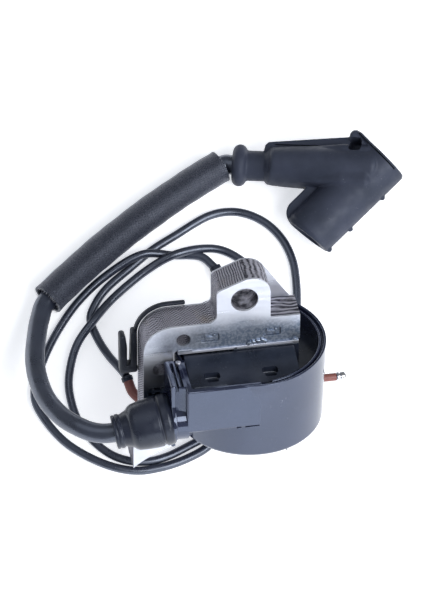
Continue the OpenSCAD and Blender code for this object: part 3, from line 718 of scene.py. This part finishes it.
def sheet_outline(web=False):
    """Outline of one sheet, or of the rear plate with its sloped web beside the ear."""
    right = BAR_LEFT + LEG_W
    if web:
        bar_end = [(BAR_RIGHT, BAR_BOTTOM), (BAR_RIGHT, BAR_TOP - 2.8), *arc(*CROWN, 34, 90)]
    else:
        bar_end = [(BAR_RIGHT, BAR_BOTTOM), (BAR_RIGHT, BAR_TOP), (EAR_RIGHT, BAR_TOP), *arc(*CROWN, 0, 90)]
    return [*bar_end, (0.5, EAR_TOP - 0.1), (-8.4, 5), (-9.4, 4.4), (EAR_LEFT, 3.4),
            *arc(EAR_LEFT - 3, BAR_TOP + 3, 3, 0, -90, 6),
            *arc(BAR_LEFT + SHOULDER_R, BAR_BOTTOM, SHOULDER_R, 90, 180, 20),
            (BAR_LEFT, SHOE_TOP), (SHOE_LEFT, SHOE_TOP - 5), *along_gap(SHOE_LEFT, right),
            (right, BAR_BOTTOM - 1), (right + 1, BAR_BOTTOM)]


def leg_outline():
    """Outline of one sheet of the pot's leg, with its shoe and the tongue that keys it into the bar."""
    shoe_right, shoe_high, key_left, key_right = 2 * POLE_MID_X - SHOE_LEFT, POT_BOTTOM - 1.2, -0.7, 5.3
    return [(LEG_LEFT, BAR_BOTTOM), *along_gap(LEG_LEFT, shoe_right),
            (shoe_right, shoe_high - 4), (LEG_RIGHT, shoe_high), (LEG_RIGHT, BAR_BOTTOM),
            (key_right, BAR_BOTTOM), (key_right, BAR_BOTTOM + 6), (key_left, BAR_BOTTOM + 6),
            (key_left, BAR_BOTTOM)]


ROUND_HOLES = [arc(x, z, r, 0, 360 - 7.5, 47) for (x, z), r in HOLES]
STAKE_HOLES = [rounded([(x + a * STAKE_W / 2, z + b * STAKE_H / 2) for a, b in SQUARE], 0.5, closed=True)
               for x, z in STAKES]


def stack(outline, holes, y0, y1):
    """Thin sheets with their edges a few hundredths out of line, as a punched stack has."""
    count = round((y1 - y0) / SHEET_PITCH)
    pitch = (y1 - y0) / count
    first = moved(plate(outline, holes, SHEET_T, 0.05), STAND)
    sheets = []
    for i in range(count):
        sheet = link("sheet", first.data.copy())
        slip = Vector((rng.uniform(-0.04, 0.04), y0 + (i + 0.5) * pitch, rng.uniform(-0.04, 0.04)))
        sheets.append(moved(sheet, Matrix.Translation(slip)))
    bpy.data.objects.remove(first)
    return joined("stack", sheets)


HOLE_LINES = ROUND_HOLES + STAKE_HOLES
piece("core_sheets", stack(sheet_outline(), HOLE_LINES, PLATE_T, STACK_T - PLATE_T), SEAT,
      "lamination_steel", "coil", "core_laminations")
piece("leg_sheets", stack(leg_outline(), [], PLATE_T, STACK_T), SEAT, "lamination_steel", "coil", "pole_leg")
front = moved(plate(sheet_outline(), HOLE_LINES, PLATE_T, 0.14), shift(0, PLATE_T / 2, 0) @ STAND)
piece("front_end_plate", front, SEAT, "plated_steel", "coil", "front_plate")
rear = moved(plate(sheet_outline(True), HOLE_LINES, PLATE_T, 0.14),
             shift(0, STACK_T - PLATE_T / 2, 0) @ STAND)
piece("rear_end_plate", rear, SEAT, "plated_steel", "coil", "rear_gusset_plate")

stakes = []
for x, z in STAKES:
    # Pressed-in dimple: a sunk floor with a raised cross piece between two uprights
    stakes.append(block((x - 3.1, 0.62, z - 1.55), (x + 3.1, STACK_T - 0.62, z + 1.55), 0.12))
    for x0, x1, z0, z1 in ((-1.9, -1.1, -1.2, 1.2), (1.1, 1.9, -1.2, 1.2), (-1.3, 1.3, -0.4, 0.4)):
        stakes.append(block((x + x0, 0.1, z + z0), (x + x1, STACK_T - 0.1, z + z1), 0.1))
piece("stake_dimples", joined("stakes", stakes), SEAT, "plated_steel", "coil", "interlock_stakes")

# Shim strip under the bar: a raised tab at its left end, a notch, and beads of weld at its lower edge
shim = block((-23.8, -0.7, BAR_BOTTOM - 1.2), (BAR_RIGHT - 0.6, STACK_T, BAR_BOTTOM - 0.01), 0.2)
shim = boolean(shim, "DIFFERENCE", block((LEG_LEFT, PLATE_T, -24), (LEG_RIGHT, 20, -18)),
               block((-4.0, -1, BAR_BOTTOM - 2), (-2.8, -0.1, BAR_BOTTOM - 0.4)),
               block((-50, -1, BAR_BOTTOM - 0.45), (-19.2, -0.25, -19)),
               block((-19.2, -1, BAR_BOTTOM - 0.3), (14.6, -0.45, -19)))
shim_parts = [shim, block((-23.8, -0.7, BAR_BOTTOM - 0.7), (-18.6, -0.02, BAR_BOTTOM + 0.75), 0.25)]
for x, y, z, r in ((1.6, -0.35, 0.6, 0.95), (3.2, -0.25, 0.9, 0.7), (4.8, -0.3, 1.1, 0.9),
                   (6.3, -0.2, 1.3, 0.8), (7.4, -0.2, 0.6, 0.7), (16.6, -0.3, -0.2, 0.6),
                   (17.8, -0.3, 0.1, 0.65)):
    bead = modified(block((-r, -r * 0.6, -r * 0.7), (r, r * 0.6, r * 0.7), 0.4 * r), "SUBSURF", levels=1)
    turn = Matrix.Rotation(rng.uniform(-0.5, 0.5), 4, "Y")
    shim_parts.append(moved(bead, shift(x, y, BAR_BOTTOM + z) @ turn))
piece("shim_strip", joined("shim", shim_parts), SEAT, "plated_steel", "coil", "bar_shim")

# -------- pot, deck and what sits in it

AXIS = shift(POT_X, POT_Y, 0)
POT_SIDES, POT_HOLLOW_R = 160, 24.2
FLOOR_IN = POT_BOTTOM + POT_WALL
DECK_LOW, DECK_HIGH, DECK_RIGHT = RIM_Z - 3.6, RIM_Z - 1.5, 17.5
ROOT_LEFT, ROOT_RIGHT = -27.8, -23
FLANGE_LEFT = ROOT_LEFT - 1.2
GAP = 0.2   # round the leg, where it goes through the pot and the deck

wall = rounded([(0, POT_BOTTOM), (25.7, POT_BOTTOM), (26.5, -36), (26.9, -25), (27.1, RIM_Z), (26.2, RIM_Z),
                (26.0, RIM_Z - 1.6), (25.3, RIM_Z - 1.6), (25.1, RIM_Z - 0.3), (24.3, RIM_Z - 0.3),
                (POT_HOLLOW_R, FLOOR_IN), (0, FLOOR_IN)],
               [0, 1.6, 3, 1, 0.35, 0.35, 0.2, 0.2, 0.35, 0.35, 1, 0], 4)
pot = moved(lathe(wall, POT_SIDES), AXIS)
box = block((BLOCK_LEFT, BLOCK_FRONT, BLOCK_BOTTOM), (POT_X, BLOCK_BACK, RIM_Z), 0.9)
# Root of the tower, with a front that turns to the left, and the flange at its end
root_top = [(-30, -16), (ROOT_LEFT, -16.4), (ROOT_RIGHT, -17.6), (ROOT_RIGHT, BLOCK_BACK), (-30, BLOCK_BACK)]
root = boolean(moved(drum(TOWER_ROOT_R, 0, 7, 64), shift(-30, TOWER_BASE.y, TOWER_BASE.z) @ ALONG_X),
               "UNION", prism(root_top, -37, RIM_Z, 0.6))
root = boolean(root, "INTERSECT", block((ROOT_LEFT, -30, -60), (ROOT_RIGHT, 10, RIM_Z - 0.05)))
flange = boolean(moved(lathe(rounded([(0, 0), (8.7, 0), (8.7, 1.7), (0, 1.7)], 0.5), 64),
                       shift(FLANGE_LEFT, TOWER_BASE.y, TOWER_BASE.z) @ ALONG_X), "UNION",
                 block((FLANGE_LEFT, -16.6, -38), (ROOT_LEFT + 0.5, BLOCK_BACK - 0.4, RIM_Z + 0.25), 0.5),
                 block((ROOT_LEFT - 1.1, -16.6, -48.6), (ROOT_LEFT + 0.4, -12, -40), 0.5))
tower = moved(lathe(rounded([(0, -3), (6.5, -3), (6.5, 9), (0, 9)], 0.6), 48), TOWER_IN_SEAT)
pot = boolean(pot, "UNION", box, root, flange, tower)
# What is cut out: block, pot, the root's two channels, the leg's way, and those of the lead, wire and stub
hollow = block((BLOCK_LEFT + POT_WALL, BLOCK_FRONT + POT_WALL - 0.5, BLOCK_BOTTOM + POT_WALL),
               (POT_X + 4, BLOCK_BACK - POT_WALL, RIM_Z + 4), 0.8)
round_hollow = moved(drum(24.3, FLOOR_IN, RIM_Z + 3, POT_SIDES), AXIS)
channels = [block((x, -16.8, RIM_Z - 2.2), (x + 1.1, -2.6, RIM_Z + 2), 0.3) for x in (-27.2, -25.5)]
aperture = block((LEG_LEFT - GAP, PLATE_T - GAP, POT_BOTTOM - 2),
                 (LEG_RIGHT + GAP, STACK_T + GAP, FLOOR_IN + 2))
bore = moved(drum(3.65, -5, 12), TOWER_IN_SEAT)
kill_way = moved(drum(1.9, -2, 8, 32), shift(*KILL_OUT) @ Matrix.Rotation(-pi / 2, 4, "Y"))
slit = block((24, STUB_Y - 1.45, STUB_Z - 1.45), (31, STUB_Y + 1.45, STUB_Z + 5.5), 0.4)
pot = boolean(pot, "DIFFERENCE", hollow, round_hollow, aperture, bore, kill_way, slit, *channels)
seam = [block((x0, BLOCK_FRONT - 0.12, BLOCK_BOTTOM - 0.2), (x1, BLOCK_FRONT + 0.5, BLOCK_BOTTOM + 0.25), 0.1)
        for x0, x1 in ((-6.2, -4.6), (-3.2, 1.8))]
piece("pot_shell", joined("pot", [pot, *seam]), SEAT, "black_gloss", "coil", "coil_pot", sharp=30)

# Deck: a flat lid with a slope up to the shim, two pockets, and a low ridge along the pot's front wall
deck = boolean(moved(drum(POT_HOLLOW_R, DECK_LOW, DECK_HIGH, POT_SIDES), AXIS), "UNION",
               block((BLOCK_LEFT + 2.05, BLOCK_FRONT + 1.6, DECK_LOW), (LEG_X, -3.05, DECK_HIGH)))
deck = boolean(deck, "INTERSECT", block((-30, -30, -40), (DECK_RIGHT, 17.5, 0)))
saddle = block((LEG_LEFT - 1.6, -0.6, RIM_Z - 3), (17.4, PLATE_T - 0.1, BAR_BOTTOM - 1.25), 0.3)
slope_side = [(-18.3, -25.5), (-0.4, -25.5), (-0.4, -21.2), (-1.2, -21.2), (-18.3, -23.7)]
slope = moved(prism(slope_side, -21.8, 17.4, 0.3), ACROSS)
within = boolean(moved(drum(23.8, -30, -18, 96), AXIS), "UNION", block((-21.8, -18.2, -30), (POT_X, 0, -18)))
slope = boolean(slope, "INTERSECT", within)
ridge = block((-21.2, -18.2, RIM_Z - 3), (-9, -16.6, RIM_Z - 0.8), 0.5)
pockets = []
for x in (-16.4, 4.2):
    pockets.append(block((x, -13.4, RIM_Z - 2.9), (x + 5.6, -10.2, RIM_Z + 2), 1.0))
    pockets.append(block((x + 0.8, -14.8, RIM_Z - 2.4), (x + 4.8, -12.4, RIM_Z + 2), 0.7))
leg_way = block((LEG_LEFT - GAP, PLATE_T - GAP, -40), (LEG_RIGHT + GAP, 30, -10))
cover = block((10, -0.6, RIM_Z - 8), (19.3, STACK_T - 0.5, BAR_BOTTOM - 1.3), 0.4)
deck = boolean(deck, "UNION", slope, saddle, ridge, cover)
deck = boolean(deck, "DIFFERENCE", leg_way, *pockets)
piece("deck_lid", deck, SEAT, "resin", "coil", "coil_deck")

rivet = moved(lathe(rounded([(0, -1.2), (1.0, -1.2), (1.0, 0.2), (0.6, 0.45), (0, 0.45)], 0.2), 32),
              shift(-24.1, -2.7, RIM_Z))
piece("rivet_head", rivet, SEAT, "plated_steel", "coil", "earth_rivet")

# -------- boot on the tower

boot_line = rounded([(3.6, -1.6), (7.6, -1.6), (8.9, -0.4), (9.2, 0.2), (9.2, 2.3), (8.55, 2.7), (8.55, 3.2),
                     (9.0, 3.6), (9.0, 5.8), (8.75, 9), (8.2, 12.4), (7.5, 13.5), (6.7, 14.2), (6.1, 15.9),
                     (5.75, 16.8), (BOOT_END_R, 17.2), (BOOT_END_R, 18.2), (5.8, 18.5), (6.1, 18.8),
                     (6.05, BOOT_LEN), (3.56, BOOT_LEN)], 0.45, 3, closed=True)
boot = moved(lathe(boot_line, 96, closed=True), TOWER_IN_SEAT)
piece("boot", boot, SEAT, "boot_rubber", "coil", "lead_boot", sharp=50)

# -------- plug cap

PLUG_R = 6.0
ring = lathe([(4.85 + 2.65 * cos(tau * k / 24), 0.6 + 2.6 * sin(tau * k / 24)) for k in range(24)], 64,
             closed=True)
aslant = Matrix(((1, 0, 0, 0), (0, 1, 0, 0), (-0.07, 0, 1, 0), (0, 0, 0, 1)))
neck = lathe(rounded([(0, -1.2), (5.4, -1.2), (5.4, 10.2), (6.1, 10.6), (6.7, 11.6), (7.1, 16), (7.6, 26),
                      (0, 30)], 0.8), 64)
# Body between neck and barrel: deeper than it is wide, so that it stands above the barrel, and aslant
body = lathe(rounded([(0, 10.6), (6.2, 10.6), (6.6, 11.6), (7.0, 16), (7.6, 27), (8.0, 37), (8.0, 46.6),
                      (7.2, 48.2), (0, 48.6)], 0.5), 64)
deepen = Matrix(((1.24, 0, 0, -0.6), (0, 1, 0, 0), (-0.3, 0, 1, 0), (0, 0, 0, 1)))
# Barrel: z from its mouth to its closed end, with a mouth cut aslant and a wing at the lower side
barrel_line = rounded([(0, 0), (8.5, 0), (8.8, 0.9), (8.8, 1.8), (9.2, 2.4), (9.2, BARREL_LEN - 1.2),
                       (8.6, BARREL_LEN), (0, BARREL_LEN)], 0.5)
barrel = moved(lathe(barrel_line, 96), BARREL_IN_BENCH)
wing = prism([(-20, 0), (-20, 12.2), *arc(-5, 7.2, 5, 90, 0, 8), (0, 0)], -2, 2, 0.4)
barrel = boolean(barrel, "UNION", moved(wing, BARREL_IN_BENCH @ ALONG_X))
mouth = shift(0, 7, 0) @ Matrix.Rotation(radians(-7.6), 4, "X")
barrel = sliced(barrel, BARREL_IN_BENCH @ mouth)
cap_parts = [moved(ring, CAP_IN_BENCH @ aslant), moved(neck, CAP_IN_BENCH),
             moved(body, CAP_IN_BENCH @ deepen), barrel]
# Rib along the upper edge: x back along the cap, y outward and z down
rib_frame = CAP_IN_BENCH @ ALONG_X
rib_line = [(-9.2, 4), (-9.6, 6.6), (-10.8, 7.9), (-39.5, 10.9), (-44, 10.9), (-44, 7.6), (-13.5, 6.6),
            (-12.4, 4)]
cap_parts.append(moved(prism(rib_line, -4.4, 2.7, 0.5), rib_frame))
# Straighter sides on the body, growing out of it towards the barrel
sections = [(14, 3.5, -6.2, 6.2), (38, 9.2, -8.4, 6.9), (48.2, 9.4, -8.4, 6.5)]
corners = [(-x, y, z) for z, x, y0, y1 in sections for x, y in ((0, y0), (x, y0), (x, y1), (0, y1))]
sides = [(k + i, k + (i + 1) % 4, k + 4 + (i + 1) % 4, k + 4 + i) for k in (0, 4) for i in range(4)]
slab = soften(outward(solid(corners, [(3, 2, 1, 0), *sides, (8, 9, 10, 11)])), 1.8, 3, 50)
cap_parts.append(moved(slab, CAP_IN_BENCH))
# Web below the rib
cap_parts.append(moved(prism([(-10, 3), (-10, 6.2), (-40, 8.2), (-40, 3)], -1.1, 1.1), rib_frame))
# Flange across the barrel's closed end, with the finger lug beyond it
flange_z = BARREL_LEN - 1.5
for end_block in (block((-7.2, -6, flange_z), (7.2, 12.4, flange_z + 1.4), 0.6),
                  block((-6.2, 2, BARREL_LEN - 4.0), (6.2, 13.2, BARREL_LEN - 1.2), 1.1)):
    cap_parts.append(moved(end_block, BARREL_IN_BENCH))
lug = lathe([(0, -6.6), (1.6, -6.4), (2.2, -5), (2.2, 5), (1.6, 6.4), (0, 6.6)], 32)
cap_parts.append(moved(lug, BARREL_IN_BENCH @ shift(0, 12.5, BARREL_LEN - 2.4) @ ALONG_X))
# Nubs where the mould was vented, along the barrel's outer side
for z in (3.3, 13.6, 29.5):
    nub = lathe(rounded([(0, 0), (1.1, 0), (0.9, 1.2), (0, 1.5)], 0.4), 16)
    cap_parts.append(moved(nub, BARREL_IN_BENCH @ shift(0, -8.8, z) @ STAND))
cap = joined("cap", cap_parts)
cap = modified(cap, "REMESH", mode="VOXEL", voxel_size=0.36, use_smooth_shade=True)
cap = modified(cap, "SMOOTH", factor=0.5, iterations=4)
# Ways for the lead, the plug with its spring above, and the spring's pin; then the recess and two fine lines
lead_way = moved(drum(3.6, -6, 34), CAP_IN_BENCH)
plug_line = rounded([(0, -2), (6.9, -2), (6.9, 0.6), (PLUG_R, 2.6), (PLUG_R, 27), (4.0, 27), (4.0, 38),
                     (0, 38)], 0.2)
plug_way = moved(lathe(plug_line, 64), BARREL_IN_BENCH)
pin_way = moved(drum(1.0, 30, 47, 24), CAP_IN_BENCH)
recess = moved(block((-16, 4.2, 39.8), (-1, 9.3, 44.4), 1.2), CAP_IN_BENCH)
rib_edge = moved(block((-14, 6.65, 13), (-1.5, 7.1, 40.5), 0.1), CAP_IN_BENCH)
end_edge = moved(block((-14, -6, BARREL_LEN - 1.25), (-2, 12.2, BARREL_LEN - 0.8), 0.1), BARREL_IN_BENCH)
cap = boolean(cap, "DIFFERENCE", lead_way, plug_way, pin_way, recess, rib_edge, end_edge)
cap = modified(cap, "DECIMATE", ratio=0.35)
cap = piece("cap_shell", cap, BENCH, "cap_rubber", "cap", "plug_cap", sharp=60)

# -------- sleeve, leads and their ends

# The sleeve follows an arc on the bench: its middle, the way it points, and the arc's radius and height
SLEEVE_MID, SLEEVE_TURN, SLEEVE_ARC_R, SLEEVE_Z = (-21.4, 62.9), radians(31.9), 320.0, 6.0
SLEEVE_LEN, SLEEVE_IN_R, SLEEVE_STEPS, SLEEVE_SIDES = 80, 5.15, 160, 64
SLEEVE_HALF = asin(SLEEVE_LEN / 2 / SLEEVE_ARC_R)
rise = SLEEVE_ARC_R * (1 - cos(SLEEVE_HALF)) - SLEEVE_ARC_R
SLEEVE_CENTRE = (SLEEVE_MID[0] - rise * sin(SLEEVE_TURN), SLEEVE_MID[1] + rise * cos(SLEEVE_TURN))
FRAY_STRANDS, FRAY_R = 110, 0.055


def on_sleeve(f):
    """A point on the sleeve's middle line; f goes from -1 to 1."""
    a = pi / 2 + SLEEVE_TURN - f * SLEEVE_HALF
    x, y = SLEEVE_CENTRE
    return Vector((x + SLEEVE_ARC_R * cos(a), y + SLEEVE_ARC_R * sin(a), SLEEVE_Z))


def sleeve_radius(f):
    """A touch of waviness, and a slight flare at the cut ends."""
    flare = 0.16 * max(0, 1 - min(f, 1 - f) * 40)
    return SLEEVE_D / 2 - 0.1 + 0.05 * sin(23 * f) + 0.04 * sin(61 * f + 1) + flare


sleeve_path = [on_sleeve(-1 + 2 * i / SLEEVE_STEPS) for i in range(SLEEVE_STEPS + 1)]
outer = tube(sleeve_path, sleeve_radius, SLEEVE_SIDES, uv_around=44, caps=False)
inner = tube(sleeve_path, SLEEVE_IN_R, SLEEVE_SIDES, uv_around=38, caps=False)
inner.data.flip_normals()
# Both in one mesh, with a ring of faces from the outer tube to the inner at either end
bm = bmesh.new()
bm.from_mesh(outer.data)
bm.from_mesh(inner.data)
bpy.data.objects.remove(inner)
bpy.data.objects.remove(outer)
bm.verts.ensure_lookup_table()
to_inner = (SLEEVE_STEPS + 1) * SLEEVE_SIDES
for start in (0, SLEEVE_STEPS * SLEEVE_SIDES):
    for k in range(SLEEVE_SIDES):
        a, b = start + k, start + (k + 1) % SLEEVE_SIDES
        face = [bm.verts[i] for i in (a, b, to_inner + b, to_inner + a)]
        bm.faces.new(face if start else face[::-1])
sleeve = finished("sleeve", bm)

# Loose strands at both cut ends, shorter beside the cap so that they stay clear of it
fray = []
for end, reach in ((-1, 1), (1, 0.6)):
    centre = on_sleeve(end)
    along = (on_sleeve(end) - on_sleeve(end * 0.9)).normalized()
    side = along.orthogonal().normalized()
    other = along.cross(side)
    for k in range(FRAY_STRANDS):
        a = tau * (k + rng.uniform(-0.4, 0.4)) / FRAY_STRANDS
        out = cos(a) * side + sin(a) * other
        root_at = centre + rng.uniform(5.3, 5.75) * out - 0.6 * along
        tip = root_at + reach * rng.uniform(0.7, 1.5) * along + rng.uniform(-0.35, 0.35) * out \
            + rng.uniform(-0.7, 0.7) * along.cross(out)
        middle = (root_at + tip) / 2 + rng.uniform(0, 0.25) * out
        for p in (root_at, middle, tip):
            p.z = max(p.z, 0.12)
        fray.append(tube([root_at, middle, tip], FRAY_R, 4))
fray = joined("fray", fray)
fray_look = Shader("glass_fibre", roughness=0.4)
fray_look.set("Base Color", fray_look.mix(fray_look.noise(3000, 2), (0.25, 0.26, 0.3), (0.62, 0.64, 0.7)))

# Routes of the cords, on the bench
lead_route = [on_tower(t) for t in (-4.9, BOOT_LEN * 0.5, BOOT_LEN)]
lead_route += [Vector(p) for p in (
    (-49.4, -17.2, 34.2), (-54.9, -13.5, 31.8), (-59.6, -8, 28), (-63.2, 0, 23), (-64.6, 9, 18.5),
    (-64.2, 17.5, 14.5), (-62.2, 26, 10.8), (-59.4, 34.5, 7.6))]
lead_route += [on_sleeve(f) for f in (-1, -0.6, -0.2, 0.2, 0.6, 0.88)]
lead_route += [on_cap(t) for t in (-5, -1, 12, 33.9)]
# Where no height is stated the wire lies on the bench
wire_route = [Vector(p if len(p) == 3 else (*p, WIRE_D / 2)) for p in (
    (-32.6, 8.6, 12.4), (-34.3, 13.5, 8.5), (-36.8, 19.5, 4.5), (-39.3, 27), (-40.8, 34), (-38.3, 39.5),
    (-33.3, 45), (-24.8, 51), (-15.8, 57), (-6.8, 61.5), (6.2, 67.5), (16.2, 68), (24.7, 64), (30.7, 57),
    (33.7, 48), (33.7, 38), (32.2, 27), (30.7, 16), (29.2, 6), (24.7, -3), (16.2, -9), (4.2, -10),
    (-8.8, -14.5), (-20.8, -19), (-29.8, -20), (-38.3, -17.5), (-44.8, -12), (-49.8, -4), (-51.8, 5),
    (-51.3, 14), (-47.3, 24.5, 3), (-40.3, 32.5, 4.6), (-31.3, 41, 3), (-18.8, 49.5, 2.5),
    (-8.8, 53.5, 4.6), (1.7, 55.5, 2.5), (10.2, 54), (17.7, 47.5), (22.7, 37), (25.2, 25), (25.7, 13),
    (24.7, 3), (18.2, -4), (8.2, -6, 2.5), (-0.8, -10, 4.6), (-5.3, -16.5, 2), (-13.8, -20.5),
    (-23.8, -22.8), (-33.8, -22.8), (-44.8, -18.5), (-55.8, -10), (-62.8, 1), (-64.3, 9.5),
    (-60.3, 19.5), (-53.8, 30), (-44.3, 41), (-32.8, 49.5, 2.5), (-19.8, 55, 4.6), (-8.3, 54.5),
    (1.2, 53), (5.7, 48.5))]
kill_route = [seat(KILL_OUT), seat(KILL_OUT - Vector((4, 0, 0)))]
kill_route += [Vector(p) for p in (
    (-23.3, -1, 13.2), (-27.8, -0.8, 12.2), (-31, 2.6, 11.8), (-32.2, 6.8, 12.2))]


def cord_piece(name, route, diameter, slot, *replaced, sides=32):
    path = smooth_path(route, 10)
    obj = piece(name, tube(path, diameter / 2, sides), BENCH, slot, "coil", *replaced)
    length = sum((b - a).length for a, b in zip(path, path[1:]))
    return obj, [tuple(p * MM) for p in path[::4]] + [tuple(path[-1] * MM)], length * MM


lead, lead_path, lead_length = cord_piece("high_tension_lead", lead_route, LEAD_D, "lead_sheath", "ht_lead")
wire, wire_path, wire_length = cord_piece("stop_lead", wire_route, WIRE_D, "lead_sheath", "stop_wire",
                                          sides=24)
cord_piece("kill_sheath", kill_route, KILL_D, "brown_sheath", "kill_lead")

sleeve = piece("sleeve_weave", sleeve, BENCH, "woven_sleeve", "sleeve", "lead_sleeve", sharp=60)
piece("sleeve_fray", fray, BENCH, "woven_sleeve", "sleeve")
fray.data.materials.clear()
fray.data.materials.append(fray_look.material)

collar_path = [kill_route[-1], kill_route[-1].lerp(wire_route[0], 0.5), wire_route[0]]
collar = tube(collar_path, END_R, 32)
collar = piece("kill_collar", soften(collar, 0.35, 3), BENCH, "boot_rubber", "coil", "kill_lead_collar")

terminal_line = rounded([(0, 0), (END_R, 0), (END_R, 7.2), (1.8, 7.6), (1.8, 8.1), (END_R, 8.5), (END_R, 11),
                         (1.4, 11), (1.4, 9.6), (0, 9.6)], 0.3)
wire_end = wire_route[-1]
terminal_at = shift(wire_end.x, wire_end.y, END_R) @ Matrix.Rotation(radians(-70), 4, "Z") @ ALONG_X
terminal = piece("stop_terminal", moved(lathe(terminal_line, 40), terminal_at), BENCH, "boot_rubber", "coil",
                 "stop_wire_terminal")

# -------- clip, stub and its ferrule

# A strap that hugs the core's shoulder, and a base with two prongs that stands at the core's left side
STRAP_T, HUG_R = 1.4, SHOULDER_R + 0.1
cx, cz = BAR_LEFT + SHOULDER_R, BAR_BOTTOM
strap = [*arc(cx, cz, HUG_R + STRAP_T, 90, 180, 20), (cx - HUG_R - STRAP_T, cz - 15), (cx - HUG_R, cz - 15),
         *arc(cx, cz, HUG_R, 180, 90, 20), (cx + 6.5, cz + HUG_R), (cx + 6.5, cz + HUG_R + STRAP_T)]
clip = moved(prism(strap, -14.0, -12.2, 0.55), STAND)
base = block((-42.4, 10.6, -35.2), (-36.05, 15, -31.8), 0.9)
prongs = []
for x, top, lean_out in ((-41.1, -18.6, -0.35), (-37.5, -17.6, 0.25)):
    outline = rounded([(x - 1.35, -34), (x + 1.3, -34), (x + 1.35, -24), (x + 1.0 + lean_out, top),
                       (x - 1.1 + lean_out, top)], [0, 0, 1, 0.9, 0.9], 4, closed=True)
    prongs.append(moved(prism(outline, -14.9, -10.7, 0.7), STAND))
piece("clip", boolean(base, "UNION", clip, *prongs), SEAT, "black_matte", "coil", "wire_clip")

STUB_PLACE = shift(STUB_X, STUB_Y, STUB_Z) @ ALONG_X
stub = lathe(rounded([(0, -4.5), (1.4, -4.5), (1.4, 7.9), (1.1, 8.2), (0, 8.2)], 0.15), 32)
piece("stub_sheath", moved(stub, STUB_PLACE), SEAT, "brown_sheath", "coil", "test_lead_stub")
ferrule = lathe(rounded([(0, STUB_LEN), (1.5, STUB_LEN), (1.65, 8.5), (1.65, 9.0), (1.45, 9.2), (1.45, 9.5),
                         (1.65, 9.7), (1.65, 10.9), (1.3, 11.4), (0, 11.4)], 0.12), 32)
piece("ferrule", moved(ferrule, STUB_PLACE), SEAT, "bright_metal", "coil", "stub_ferrule")
